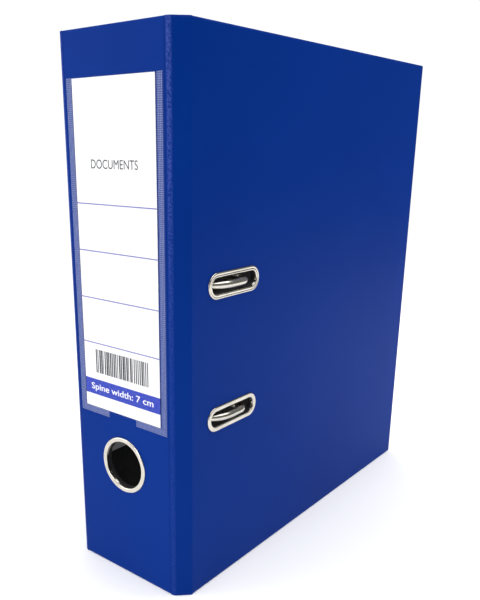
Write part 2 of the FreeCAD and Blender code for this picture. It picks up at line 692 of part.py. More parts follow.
def lever():
    """Shape the lever in its own frame, whose origin is the pivot."""
    thick = size("lever_thick").number
    half = size("cheek_half").number
    reach = size("lever_reach").number
    angle = math.radians(size("lever_rest").number)
    along = Vector(math.sin(angle), -math.cos(angle), 0)
    above = Vector(math.cos(angle), math.sin(angle), 0)
    roller_at = Vector(-ROLLER_DROP.number, -ROLLER_LEAD.number, 0)
    eye = size("roller_pin").number / 2 + size("eye_land").number
    hub = size("pivot_dia").number / 2 + size("hub_land").number
    web_start = hub * 0.9
    web_end = reach - size("tip_roll").number * 0.5

    def cheek_face():
        """The cheek: a hull round the roller's eye and the hub, and a tapering flank."""
        hub_disc = Part.Face(Part.Wire(Part.makeCircle(hub)))
        eye_disc = Part.Face(Part.Wire(Part.makeCircle(eye, roller_at)))
        across = Vector(-roller_at.y, roller_at.x, 0).normalize()
        link = Part.Face(Part.makePolygon([across * hub, roller_at + across * eye,
                                           roller_at - across * eye, across * -hub,
                                           across * hub]))
        flank = Part.Face(Part.makePolygon([
            above * (hub - 0.01), along * web_end + above * hub,
            along * web_end + above * (hub - thick), along * (reach * 0.55) + above * -1.0,
            above * -hub * 0.8, above * (hub - 0.01)]))
        return hub_disc.fuse([eye_disc, link, flank]).removeSplitter()

    face = cheek_face()
    cheeks = []
    for low in (-half, half - thick):
        plate = face.copy()
        plate.translate(Vector(0, 0, low))
        cheeks.append(plate.extrude(Vector(0, 0, thick)))
    web_face = Part.Face(Part.makePolygon([
        along * web_start + above * hub, along * web_end + above * hub,
        along * web_end + above * (hub - thick), along * web_start + above * (hub - thick),
        along * web_start + above * hub]))
    web_face.translate(Vector(0, 0, -half))
    web = web_face.extrude(Vector(0, 0, 2 * half))
    tip_radius = size("tip_roll").number
    tip_at = along * reach + above * (hub - tip_radius) - Vector(0, 0, half)
    tip = Part.makeCylinder(tip_radius, 2 * half, tip_at, Vector(0, 0, 1))
    core = Part.makeCylinder(tip_radius - thick, 2 * half, tip_at, Vector(0, 0, 1))
    play = size("running_gap").number
    pivot_hole = Part.makeCylinder(size("pivot_dia").number / 2 + play, 2 * half + 2,
                                   Vector(0, 0, -half - 1), Vector(0, 0, 1))
    axle_hole = Part.makeCylinder(size("roller_pin").number / 2, 2 * half + 2,
                                  roller_at - Vector(0, 0, half + 1), Vector(0, 0, 1))
    shape = web.fuse(cheeks + [tip]).cut(core).cut(pivot_hole).cut(axle_hole).removeSplitter()
    thing = doc.addObject("Part::Feature", "lever")
    thing.Shape = shape
    place(thing, PIVOT_X, PIVOT_Y, MID_Z)
    finish(thing, "lever")


def pin(label, dia, half, x, y):
    """A plain pin across the mechanism, centred on its middle."""
    body = new_body(label, x, y, MID_Z)
    sketch = new_sketch(body, label + "_section")
    draw_circle(sketch, 0, 0, size(dia) / 2)
    pad(body, sketch, size(half) * 2, both_ways=True)


def roller():
    """The roller and its axle."""
    pin("roller_axle", "roller_pin", size("cheek_half"), ROLLER_X, ROLLER_Y)
    inner = size("roller_pin") / 2 + "running_gap"
    outer = size("roller_dia") / 2
    half = size("roller_width") / 2
    body = new_body("lever_roller", ROLLER_X, ROLLER_Y, MID_Z)
    edge = size("roller_round")
    spin(body, [(inner, -half), (outer - edge, -half), (outer, -half + edge),
                (outer, half - edge), (outer - edge, half), (inner, half)])


def compressor_bar():
    """The bar that slides down the posts on the paper."""
    half = size("hole_pitch") / 2
    end = half + "bar_margin"
    wide = size("bar_width") / 2
    body = new_body("compressor_bar", PLATE_X + "bar_rest", POST_Y, MID_Z, ACROSS)
    outline = new_sketch(body, "bar_outline")
    waist = wide - "bar_cut_wide"
    flank = end - "bar_cut_long"
    draw_polygon(outline, [(-wide, -flank), (-waist, -end), (waist, -end), (wide, -flank),
                           (wide, flank), (waist, end), (-waist, end), (-wide, flank)])
    bar = pad(body, outline, "bar_thick")
    thick = size("bar_thick").number
    round_edges(body, bar, size("bar_round"),
                lambda edge: all(abs(v.Point.z - thick) < 1e-6 for v in edge.Vertexes))
    holes = new_sketch(body, "bar_holes")
    for way in (-1, 1):
        draw_circle(holes, 0, half * way, size("post_dia") / 2 + "bar_play")
    pocket(body, holes)


def cover_rivets():
    """Four rivets through the back cover and the base plate, heads outside."""
    shank = size("rivet_dia").number / 2
    head = size("rivet_head").number / 2
    rise = size("head_rise").number
    outside = -OUT_X.number
    grip = (WALL + "plate_thick").number
    closed = size("rivet_close").number
    solids = []
    for y, z in rivet_places():
        at = Vector(outside, (POST_Y + y).number, (MID_Z + z).number)
        outline = [Vector(0, 0, -rise), Vector(head * 0.62, 0, -rise * 0.8),
                   Vector(head * 0.9, 0, -rise * 0.4), Vector(head, 0, 0), Vector(shank, 0, 0),
                   Vector(shank, 0, grip), Vector(shank * 1.5, 0, grip),
                   Vector(shank * 1.3, 0, grip + closed), Vector(0, 0, grip + closed)]
        face = Part.Face(Part.makePolygon(outline + outline[:1]))
        solid = face.revolve(Vector(), Vector(0, 0, 1), 360)
        solid.Placement = FreeCAD.Placement(at, ACROSS)
        solids.append(solid)
    made_shape("cover_rivets", Part.makeCompound(solids))


def small_rivets():
    """The rivets of the saddles and of the spring, closed on the base plate."""
    shank = size("small_rivet").number / 2
    head = shank * 1.7
    plate = size("plate_thick").number
    solids = []
    grips = [size("saddle_wall").number] * 4 + [size("spring_thick").number]
    for (y, z), grip in zip(small_places(), grips):
        at = Vector(PLATE_X.number - plate, (POST_Y + y).number, (MID_Z + z).number)
        body = Part.makeCylinder(shank, plate + grip)
        cap = Part.makeCone(head, head * 0.6, size("rivet_close").number, Vector(0, 0, plate + grip))
        solid = body.fuse(cap).removeSplitter()
        solid.Placement = FreeCAD.Placement(at, ACROSS)
        solids.append(solid)
    made_shape("small_rivets", Part.makeCompound(solids))


# ---- build and export -----------------------------------------------------------------
def back_punches(part):
    """The four rivet holes through one layer of the back cover."""
    return [rod("%s_rivet_hole%d" % (part, number), size("rivet_dia") / 2, WALL + 2,
                (-OUT_X - 1, POST_Y + y, MID_Z + z), ACROSS)
            for number, (y, z) in enumerate(rivet_places())]


def build():
    """Make every sub-part."""
    spine_panel()
    cover_panel("front", 1, front_punches)
    cover_panel("back", -1, back_punches)
    hinge_strip("front_hinge_strip", 1)
    hinge_strip("back_hinge_strip", -1)
    finger_ring()
    slot_eyelet("lower", LOW_Z)
    slot_eyelet("upper", HIGH_Z)
    label_pocket()
    base_plate()
    paper_post("lower", LOW_Z)
    paper_post("upper", HIGH_Z)
    arch_yoke()
    axle_saddle("lower", -1)
    axle_saddle("upper", 1)
    leaf_spring()
    pin("lever_pin", "pivot_dia", size("ear_half") + "lever_thick", PIVOT_X, PIVOT_Y)
    lever()
    roller()
    compressor_bar()
    cover_rivets()
    small_rivets()


def check():
    """Refuse a document in which any object failed or any sub-part is not a sound solid."""
    for thing in doc.Objects:
        for state in ("Invalid", "Error"):
            if state in thing.State:
                raise RuntimeError("%s is %s" % (thing.Name, state))
    for thing in subparts:
        if thing.Shape.isNull() or not thing.Shape.isValid() or thing.Shape.Volume <= 0:
            raise RuntimeError("%s has no sound shape" % thing.Label)


def export():
    """Write each sub-part to its own file."""
    os.makedirs("parts", exist_ok=True)
    for thing in subparts:
        thing.Shape.exportStep("parts/%s.step" % thing.Label)
        print("%-20s %12.1f mm3" % (thing.Label, thing.Shape.Volume))


build()
doc.recompute()
check()
export()
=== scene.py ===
"""The looks of a lever arch file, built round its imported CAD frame. Lengths are in metres."""

import math

import bmesh
import bpy
import numpy as np
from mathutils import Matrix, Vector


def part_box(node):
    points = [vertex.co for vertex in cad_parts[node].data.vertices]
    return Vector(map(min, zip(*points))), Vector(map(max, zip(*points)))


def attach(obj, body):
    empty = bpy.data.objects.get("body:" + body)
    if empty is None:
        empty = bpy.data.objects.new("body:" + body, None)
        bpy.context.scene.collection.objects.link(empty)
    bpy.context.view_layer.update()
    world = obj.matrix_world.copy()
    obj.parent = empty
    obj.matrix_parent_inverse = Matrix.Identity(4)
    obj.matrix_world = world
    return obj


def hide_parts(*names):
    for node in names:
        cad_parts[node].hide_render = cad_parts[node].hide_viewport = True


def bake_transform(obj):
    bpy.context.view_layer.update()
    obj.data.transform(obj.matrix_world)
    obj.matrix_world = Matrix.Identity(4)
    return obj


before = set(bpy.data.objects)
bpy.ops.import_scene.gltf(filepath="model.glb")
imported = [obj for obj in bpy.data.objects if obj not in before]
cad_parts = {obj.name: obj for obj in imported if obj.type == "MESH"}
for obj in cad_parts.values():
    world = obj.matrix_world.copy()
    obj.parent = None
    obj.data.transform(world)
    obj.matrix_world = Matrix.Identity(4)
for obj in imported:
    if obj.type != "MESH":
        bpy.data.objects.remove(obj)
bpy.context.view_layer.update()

MM = 0.001
HALF_TURN = math.pi
QUARTER = math.pi / 2


# ---- places, all from the frame -------------------------------------------------------
def corners(node):
    """Lowest and highest corner of a CAD node, as arrays."""
    low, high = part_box(node)
    return np.array(low), np.array(high)


SPINE_LOW, SPINE_HIGH = corners("spine_foil")
FRONT_LOW, FRONT_HIGH = corners("front_foil")
CARD_LOW, CARD_HIGH = corners("label_card")
POCKET_LOW, POCKET_HIGH = corners("label_pocket")
RING_LOW, RING_HIGH = corners("finger_ring")
POST_LOW, POST_HIGH = corners("paper_post_lower")
YOKE_LOW, YOKE_HIGH = corners("arch_yoke")
SADDLE_LOW, SADDLE_HIGH = corners("axle_saddle_lower")

FACE_X = FRONT_HIGH[0]                  # outer face of the front cover
COVER_IN_X = FRONT_LOW[0]               # its inner face
SPINE_Y = SPINE_LOW[1]                  # outer face of the spine
SPINE_IN_Y = SPINE_HIGH[1]              # its inner face
FLAT_X = SPINE_HIGH[0]                  # edge of the flat spine
COVER_Y = FRONT_LOW[1]                  # hinge edge of a cover
FORE_Y = FRONT_HIGH[1]                  # fore edge
HEAD_Z = FRONT_HIGH[2]
RING_Z = (RING_LOW[2] + RING_HIGH[2]) / 2
RING_BORE = 13.2 * MM
POST_Y = (POST_LOW[1] + POST_HIGH[1]) / 2
LOW_Z = (POST_LOW[2] + POST_HIGH[2]) / 2
HIGH_Z = sum(corners("paper_post_upper"))[2] / 2
MID_Z = (LOW_Z + HIGH_Z) / 2
WIRE = 2.0 * MM                         # radius of the arch wire
SEAT_GAP = 0.12 * MM                    # tip of an arch to the post it stands on
LINING = 0.2 * MM
PAPER_IN = 4 * MM                       # the lining stops short of the edges
CELL = 6 * MM                           # usual spacing of a flat panel's grid
TINY = 1e-7                             # slack when places are compared
EDGE = 1.0 * MM                         # rounding where the foil turns round the board
SPINE_BEND = 4.2 * MM                   # soft bend of the foil at the spine's edge
COVER_BEND = 1.6 * MM                   # tighter bend at the cover's edge
HINGE_FOIL = 0.45 * MM


# ---- surfaces -------------------------------------------------------------------------
def unit(vectors):
    """Vectors over their own lengths, where a zero vector stays zero."""
    length = np.linalg.norm(vectors, axis=-1, keepdims=True)
    return vectors / np.where(length > 1e-12, length, 1.0)


def patch(points, around=False, keep=None):
    """A grid of points with its quads; around joins last row to first, keep masks the cells."""
    index = np.arange(points.shape[0] * points.shape[1]).reshape(points.shape[:2])
    if around:
        index = np.vstack([index, index[:1]])
    corner = [index[:-1, :-1], index[1:, :-1], index[1:, 1:], index[:-1, 1:]]
    faces = np.stack(corner, axis=-1).reshape(-1, 4)
    if keep is not None:
        faces = faces[keep.reshape(-1)]
    return points.reshape(-1, 3), faces


def ruled(low, high, step, keep=()):
    """Places from low to high about one step apart, which take in every place in keep."""
    stops = np.unique(np.round(np.append(np.asarray(keep, float), [low, high]), 8))
    stops = stops[(stops >= low - TINY) & (stops <= high + TINY)]
    runs = [np.linspace(a, b, max(1, int(round((b - a) / step))) + 1)[:-1]
            for a, b in zip(stops, stops[1:])]
    return np.append(np.concatenate(runs), high)


def edge_places(low, high, radius, soft_low=True, soft_high=True):
    """Places that a rounded edge needs: r tan(a) past the flat, a from 0 to 45 degrees in four steps.

    One more place stands a little inside the flat, to keep its shading plain.
    """
    reach = np.append(radius * np.tan(np.linspace(0, QUARTER / 2, 5)), -0.35 * radius)
    low_set = low + radius - reach if soft_low else []
    high_set = high - radius + reach if soft_high else []
    return np.concatenate([low_set, high_set])


def soft_slab(u_span, v_span, w_span, radius, step, soft=(1, 1, 1, 1), windows=(), marks_u=()):
    """A slab over u and v, from w_span[0] to w_span[1], with its edges rounded.

    Every point p of the square slab is moved to q + r n: q is p clamped to the slab shrunk by
    r on its soft sides, and n is the unit vector from q to p. A window is a stadium hole
    (centre u, centre v, half core, radius): the lines round it are pulled onto its outline.
    """
    (u0, u1), (v0, v1), (w0, w1) = u_span, v_span, w_span
    keep_u = [edge_places(u0, u1, radius, soft[0], soft[1]), np.asarray(marks_u, float)]
    keep_v = [edge_places(v0, v1, radius, soft[2], soft[3])]
    for cu, cv, half, bore in windows:
        keep_u += [np.linspace(cu - half - bore, cu + half + bore, 15)]
        keep_v += [np.linspace(cv - bore, cv + bore, 9)]
    u = ruled(u0, u1, step, np.concatenate(keep_u))
    v = ruled(v0, v1, step, np.concatenate(keep_v))
    w = ruled(w0, w1, step, edge_places(w0, w1, radius)[[0, 1, 2, 3, 4, 6, 7, 8, 9, 10]])

    core_low = np.array([u0 + radius * soft[0], v0 + radius * soft[2], w0 + radius])
    core_high = np.array([u1 - radius * soft[1], v1 - radius * soft[3], w1 - radius])

    def rounded(points):
        core = np.clip(points, core_low, core_high)
        return core + radius * unit(points - core)

    def flat(a, b, end, order):
        """A grid over two axes that stands at end on the third; order sorts them into u, v, w."""
        across, along = np.meshgrid(a, b, indexing="ij")
        level = np.full_like(across, end)
        return np.stack([(across, along, level)[k] for k in order], axis=-1)

    mid_u, mid_v = (u[1:] + u[:-1]) / 2, (v[1:] + v[:-1]) / 2
    stays = np.ones((len(mid_u), len(mid_v)), bool)
    faces = [flat(u, v, end, (0, 1, 2)) for end in (w0, w1)]
    walls = []
    for cu, cv, half, bore in windows:
        inside_u = np.abs(mid_u - cu) < half + bore
        inside_v = np.abs(mid_v - cv) < bore
        stays &= ~(inside_u[:, None] & inside_v[None, :])
        near_u = np.abs(u - cu) < half + bore + TINY
        near_v = np.abs(v - cv) < bore + TINY
        block = np.ix_(near_u, near_v)
        i, j = np.flatnonzero(near_u), np.flatnonzero(near_v)
        ahead, aside = np.full(len(i), 0), np.full(len(j) - 2, 0)
        rim_i = np.concatenate([i, aside + i[-1], i[::-1], aside + i[0]])
        rim_j = np.concatenate([ahead + j[0], j[1:-1], ahead + j[-1], j[-2:0:-1]])
        for sheet in faces:
            area = sheet[block]
            core = np.clip(area[..., 0] - cu, -half, half)
            way = np.stack([area[..., 0] - cu - core, area[..., 1] - cv], axis=-1)
            area[..., :2] = unit(way) * bore + np.stack([cu + core, 0 * core + cv], axis=-1)
            sheet[rim_i, rim_j] = area[rim_i - i[0], rim_j - j[0]]
        rims = [sheet[rim_i, rim_j] for sheet in faces]
        walls.append(patch(np.stack(rims, axis=1), around=True))
    sides = [flat(v, w, end, (2, 0, 1)) for end in (u0, u1)]
    sides += [flat(u, w, end, (0, 2, 1)) for end in (v0, v1)]
    shells = [patch(rounded(sheet), keep=stays) for sheet in faces]
    return shells + [patch(rounded(sheet)) for sheet in sides] + walls


def bent(shells, route):
    """The shells with (u, v, w) moved by route, which maps an array of points to points."""
    return [(route(points), faces) for points, faces in shells]


def rounded_run(stops, radii, turns=14):
    """A path through stops, each inner one replaced by a tangent arc of so many turns."""
    stops = np.asarray(stops, float)
    places = [stops[:1]]
    for before, corner, after, radius in zip(stops, stops[1:], stops[2:], radii):
        arrive, leave = unit(corner - before), unit(after - corner)
        turn = math.acos(float(np.clip(arrive @ leave, -1, 1)))
        back = radius * math.tan(turn / 2)
        centre = corner + unit(leave - arrive) * radius / math.cos(turn / 2)
        out = unit(corner - arrive * back - centre)
        angle = np.linspace(0, turn, turns)[:, None]
        places.append(centre + radius * (np.cos(angle) * out + np.sin(angle) * arrive))
    places.append(stops[-1:])
    return np.concatenate(places)


def measured(path):
    """Length along a path at each of its points."""
    return np.append(0, np.cumsum(np.linalg.norm(np.diff(path, axis=0), axis=1)))


def swept(path, radii, sides=32):
    """A round bar: circles of the given radii stand square to the path at its points.

    Where two points of the path coincide, the way of the nearest real step is taken.
    """
    way = unit(np.diff(path, axis=0))
    arrive = np.vstack([way[:1], way])
    leave = np.vstack([way, way[-1:]])
    dull_start = np.linalg.norm(arrive, axis=1) < 0.5
    arrive[dull_start] = leave[dull_start]
    dull_end = np.linalg.norm(leave, axis=1) < 0.5
    leave[dull_end] = arrive[dull_end]
    tangent = unit(arrive + leave)
    side = unit(np.ones(3) - (tangent @ np.ones(3))[:, None] * tangent)
    other = np.cross(tangent, side)
    angle = np.linspace(0, 2 * HALF_TURN, sides, endpoint=False)
    ring = np.cos(angle)[:, None, None] * side + np.sin(angle)[:, None, None] * other
    return patch(path + ring * radii[:, None], around=True)


def lathe(start, axis, profile, sides=48):
    """A turned solid: profile holds (distance along the axis, radius) from pole to pole."""
    axis = np.asarray(axis, float)
    path = np.asarray(start, float) + profile[:, :1] * axis
    side = unit(np.cross(axis, (0, 0, 1) if axis[2] == 0 else (1, 0, 0)))
    other = np.cross(axis, side)
    angle = np.linspace(0, 2 * HALF_TURN, sides, endpoint=False)[:, None, None]
    ring = np.cos(angle) * side + np.sin(angle) * other
    return patch(path + ring * profile[:, 1:2], around=True)


def around_stadium(section, half_core, bore, arc_points=40, run_points=10):
    """A closed section of (distance from the bore, w) points carried round a stadium."""
    rise = np.linspace(-QUARTER, QUARTER, arc_points)
    run = np.linspace(half_core, -half_core, run_points + 2)[1:-1]
    flat, arc = np.full(run_points, QUARTER), np.full(arc_points, half_core)
    angle = np.concatenate([rise, flat, rise + HALF_TURN, -flat])
    core = np.concatenate([arc, run, -arc, -run])
    out = bore + section[:, 0]
    ring = np.stack([core[:, None] + np.cos(angle)[:, None] * out, np.sin(angle)[:, None] * out,
                     np.broadcast_to(section[:, 1], (len(core), len(section)))], axis=-1)
    return [patch(np.concatenate([ring, ring[:, :1]], axis=1), around=True)]


def eyelet(half_core, bore, flange, rise, depth):
    """A rolled eyelet in (u, v, w): its section carried round a stadium.

    The section is a flattened arch, w = rise * sin(a) ** 0.55, from the bore to the flange's rim.
    A shallow groove runs round its top, and a tube with a thin wall goes down from the bore.
    """
    a = np.linspace(0, HALF_TURN, 33)
    spread = flange / 2 * (1 - np.sign(np.cos(a)) * np.abs(np.cos(a)) ** 0.62)
    height = rise * np.sin(a).clip(0) ** 0.55
    height -= 0.14 * rise * np.exp(-(((spread - flange * 0.5) / (0.17 * flange)) ** 2))
    wall = 0.5 * MM
    section = np.concatenate([
        np.stack([spread, height.clip(0)], axis=-1),
        [[flange - 0.15 * MM, -0.02 * MM], [wall, -0.02 * MM], [wall, -depth + 0.1 * MM],
         [wall - 0.1 * MM, -depth], [0.1 * MM, -depth], [0, -depth + 0.1 * MM], [0, -depth / 2]]])
    return around_stadium(section, half_core, bore)


def capped(loops):
    """Loops that stand along a run, joined, with both ends fanned to their middles."""
    ends = loops.mean(axis=0)[[0, -1]]
    caps = np.broadcast_to(ends[None], (len(loops), 2, 3))
    return patch(np.concatenate([caps[:, :1], loops, caps[:, 1:]], axis=1), around=True)


def put(name, data):
    """A new object that holds the data, in the scene."""
    thing = bpy.data.objects.new(name, data)
    bpy.context.scene.collection.objects.link(thing)
    return thing


def piece(name, shells, finish, sharp=40):
    """One mesh from shells: seams closed, faces outwards, smooth but for edges over sharp degrees."""
    counts = np.cumsum([0] + [len(points) for points, _ in shells])
    points = np.concatenate([points for points, _ in shells])
    faces = np.concatenate([faces + start for (_, faces), start in zip(shells, counts)])
    mesh = bpy.data.meshes.new(name)
    mesh.from_pydata(points, [], faces.tolist())
    work = bmesh.new()
    work.from_mesh(mesh)
    bmesh.ops.remove_doubles(work, verts=work.verts, dist=2e-6)
    bmesh.ops.recalc_face_normals(work, faces=work.faces)
    work.to_mesh(mesh)
    work.free()
    mesh.shade_smooth()
    mesh.set_sharp_from_angle(angle=math.radians(sharp))
    mesh.materials.append(finish)
    return put(name, mesh)


# ---- finishes -------------------------------------------------------------------------
class Wire:
    """A socket of a finish, so that sums and products of it can be written plainly."""

    def __init__(self, finish, socket):
        self.finish = finish
        self.socket = socket

    def math(self, operation, *values):
        return self.finish.node("ShaderNodeMath", {"operation": operation}, dict(enumerate(values)))

    def __add__(self, other):
        return self.math("ADD", self, other)

    def __sub__(self, other):
        return self.math("SUBTRACT", self, other)

    def __mul__(self, other):
        return self.math("MULTIPLY", self, other)

    def __truediv__(self, other):
        return self.math("DIVIDE", self, other)

    def __rsub__(self, other):
        return self.math("SUBTRACT", other, self)

    __radd__ = __add__
    __rmul__ = __mul__

    def over(self, limit):
        return self.math("GREATER_THAN", self, limit)

    def under(self, limit):
        return self.math("LESS_THAN", self, limit)

    def within(self, low, high):
        return self.over(low) * self.under(high)

    def size(self):
        return self.math("ABSOLUTE", self)

    def either(self, other):
        return self.math("MAXIMUM", self, other)

    def ramp(self, low, high):
        """0 below low and 1 above high, smooth between."""
        settings = {"interpolation_type": "SMOOTHSTEP"}
        return self.finish.node("ShaderNodeMapRange", settings, {"Value": self, 1: low, 2: high})


class Finish:
    """A material and its nodes."""

    def __init__(self, name, **fixed):
        self.material = bpy.data.materials.new(name)
        self.material.use_nodes = True
        self.tree = self.material.node_tree
        self.shader = self.tree.nodes["Principled BSDF"]
        self.place = self.node("ShaderNodeTexCoord", output="Object")
        parts = self.node("ShaderNodeSeparateXYZ", inputs={0: self.place})
        outputs = parts.socket.node.outputs
        self.x, self.y, self.z = (Wire(self, outputs[k]) for k in range(3))
        self.set(**fixed)

    def node(self, kind, settings=None, inputs=None, output=0):
        """Any node: its settings are made first, then the values or links of its sockets."""
        made = self.tree.nodes.new(kind)
        for key, value in (settings or {}).items():
            setattr(made, key, value)
        for key, value in (inputs or {}).items():
            self.feed(made.inputs[key], value)
        return Wire(self, made.outputs[output])

    def feed(self, socket, value):
        if isinstance(value, Wire):
            self.tree.links.new(value.socket, socket)
        elif isinstance(value, tuple) and len(value) == 3 and socket.type == "RGBA":
            socket.default_value = (*value, 1)
        else:
            socket.default_value = value

    def set(self, **values):
        """Feed the shader's sockets, named with underscores for spaces."""
        for key, value in values.items():
            words = key.replace("_", " ")
            self.feed(next(s for s in self.shader.inputs if s.name.lower() == words), value)

    def mix(self, amount, a, b):
        """Colour a where amount is 0, colour b where it is 1."""
        return self.node("ShaderNodeMix", {"data_type": "RGBA"}, {0: amount, 6: a, 7: b}, output=2)

    def noise(self, scale, detail=2.0, place=None):
        inputs = {"Vector": place or self.place, "Scale": scale, "Detail": detail}
        return self.node("ShaderNodeTexNoise", None, inputs)

    def cells(self, scale):
        return self.node("ShaderNodeTexVoronoi", None, {"Vector": self.place, "Scale": scale})

    def stretched(self, x, y, z):
        """Object coordinates scaled by x, y and z."""
        return self.node("ShaderNodeMapping", None, {"Vector": self.place, "Scale": (x, y, z)})

    def bump(self, height, distance, strength=1.0):
        inputs = {"Height": height, "Distance": distance, "Strength": strength}
        return self.node("ShaderNodeBump", None, inputs)


def blue_foil():
    """Royal blue foil with a fine pebbled grain.

    It is a little paler where edges rub. A painted highlight lightens the bends beside the spine,
    more so towards the head. A pressed crease runs where each bend starts, darkened by painted shade.
    """
    foil = Finish("blue_foil", specular_ior_level=0.035)
    grain = foil.cells(1500.0) * 0.6 + foil.noise(2600.0, 3.0) * 0.5
    cloud = foil.noise(9.0, 3.0)
    worn = 1.6 * MM
    low_edge = 1 - foil.z.ramp(0.0, worn)
    high_edge = foil.z.ramp(HEAD_Z - worn, HEAD_Z)
    edges = low_edge.either(high_edge).either(foil.y.ramp(FORE_Y - worn, FORE_Y))
    rubbed = edges * foil.noise(160.0, 4.0).ramp(0.35, 0.75)
    aside = foil.x.size()
    outside = foil.y.under(SPINE_Y + 2.2 * MM)
    before_bend = aside.ramp(FLAT_X - 1.5 * MM, FLAT_X - 0.7 * MM)
    past_bend = aside.ramp(FLAT_X + 0.3 * MM, FLAT_X + 1.5 * MM)
    # painted highlight on the bends beside the spine: lighter foil with a grainy speckle, strongest
    # towards the head
    highlight_towards_head = 0.25 + 0.75 * foil.z.ramp(0.11, 0.27)
    highlight_speckle = foil.noise(1100.0, 3.0).ramp(0.3, 0.65)
    painted_highlight = before_bend * (1 - past_bend) * outside * highlight_towards_head * highlight_speckle
    # crease: a groove in the bump, and painted shade that darkens the colour along it
    crease_and_painted_shade = (1 - (aside - (FLAT_X - 1.9 * MM)).size().ramp(0.1 * MM, 0.7 * MM)) * outside
    plain = foil.mix(cloud.ramp(0.3, 0.7), (0.0003, 0.0245, 0.205), (0.0006, 0.0275, 0.224))
    rubbed_foil = foil.mix(rubbed * 0.35, plain, (0.03, 0.075, 0.33))
    # the painted highlight mixed into the foil's colour
    highlit_foil = foil.mix(painted_highlight * 0.9, rubbed_foil, (0.05, 0.085, 0.36))
    # painted shade darkens the foil along the crease
    foil.set(base_color=foil.mix(crease_and_painted_shade * 0.4, highlit_foil, (0.0, 0.012, 0.12)),
             roughness=0.4 + 0.1 * grain,
             normal=foil.bump(grain - 4 * crease_and_painted_shade, 0.05 * MM, 0.55))
    return foil.material


def grained(name, colours, spread, grain, rough, relief, clouds=None, **fixed):
    """A finish whose grain sets its roughness and relief, and whose clouds mix its two colours.

    Grain and clouds are (scale, detail, stretch along z) of a noise; without clouds the grain
    mixes the colours too. Rough is (least, share of the grain), relief (depth, strength).
    """
    made = Finish(name, **fixed)

    def noise(scale, detail, along=1.0):
        place = made.place if along == 1.0 else made.stretched(1.0, 1.0, along)
        return made.noise(scale, detail, place)

    fine = noise(*grain)
    broad = noise(*clouds) if clouds else fine
    made.set(base_color=made.mix(broad.ramp(*spread) if spread else broad, *colours),
             roughness=rough[0] + rough[1] * fine,
             normal=made.bump(fine, relief[0] * MM, relief[1]))
    return made.material


RULES = (203.9 * MM, 180.5 * MM, 156.1 * MM, 131.9 * MM)    # heights of the printed rules
HALF_RULE = 0.3 * MM
BARS_X, BARS_Z = (-18.7 * MM, 20.4 * MM), (115.5 * MM, 128.5 * MM)
BAR_PITCH = 1.35 * MM
BAND_Z = (102.8 * MM, 111.6 * MM)
KNURL = 1.9 * MM                        # pitch of the pocket's weld across


def printed_card():
    """White card printed with four rules, a block of bars and a blue band."""
    card = Finish("white_card", specular_ior_level=0.25, roughness=0.6)
    fibres = card.noise(1200.0, 3.0)
    inside = card.x.size().under(CARD_HIGH[0] - 0.05 * MM)
    rules = (card.z - RULES[0]).size().under(HALF_RULE)
    for height in RULES[1:]:
        rules = rules.either((card.z - height).size().under(HALF_RULE))
    pitch = (card.x - BARS_X[0]) / BAR_PITCH
    cell = pitch.math("FLOOR", pitch)
    dice = card.node("ShaderNodeTexWhiteNoise", {"noise_dimensions": "1D"}, {"W": cell})
    black = pitch.math("FRACT", pitch).under(0.4 + 0.5 * dice)
    bars = black * card.x.within(*BARS_X) * card.z.within(*BARS_Z)
    band = card.z.within(*BAND_Z)
    paper = card.mix(fibres.ramp(0.3, 0.8), (0.83, 0.83, 0.84), (0.88, 0.88, 0.88))
    ruled_card = card.mix(rules * inside, paper, (0.15, 0.15, 0.46))
    banded = card.mix(band, ruled_card, (0.010, 0.035, 0.42))
    card.set(base_color=card.mix(bars, banded, (0.03, 0.03, 0.045)),
             normal=card.bump(fibres, 0.02 * MM, 0.3))
    return card.material


def ink(name, colour):
    """Flat printing ink with a trace of the card's tooth."""
    print_ink = Finish(name, specular_ior_level=0.2, roughness=0.6)
    tooth = print_ink.noise(1600.0, 2.0)
    worn = tuple(0.9 * c + 0.03 for c in colour)
    print_ink.set(base_color=print_ink.mix(tooth.ramp(0.2, 0.9), colour, worn))
    return print_ink.material


def clear_film():
    """Clear film: only its gloss and a faint haze show."""
    film = Finish("clear_film", roughness=0.12, specular_ior_level=0.5)
    haze = film.noise(240.0, 3.0)
    film.set(base_color=(0.9, 0.92, 0.95), alpha=0.008 + 0.01 * haze)
    return film.material


def welded_film():
    """The film where it is welded to the foil: milky, palest on the knurl's points."""
    weld = Finish("welded_film", specular_ior_level=0.3, roughness=0.45)
    turn = 2 * HALF_TURN / KNURL
    rising, falling = (weld.x + weld.z) * turn, (weld.x - weld.z) * turn
    knurl = rising.math("COSINE", rising) * falling.math("COSINE", falling)
    points = (knurl * 0.5 + 0.5).ramp(0.35, 0.95) * weld.noise(2200.0, 2.0).ramp(0.1, 0.6)
    weld.set(base_color=weld.mix(points, (0.03, 0.06, 0.26), (0.25, 0.285, 0.47)),
             normal=weld.bump(points, 0.1 * MM, 0.4))
    return weld.material


def moulded(name, colour, gloss):
    """Moulded plastic with a fine spark-eroded texture."""
    return grained(name, (colour, tuple(c * 1.5 for c in colour)), None, (2200.0, 3.0),
                   (gloss, 0.1), (0.02, 0.4), specular_ior_level=0.45)


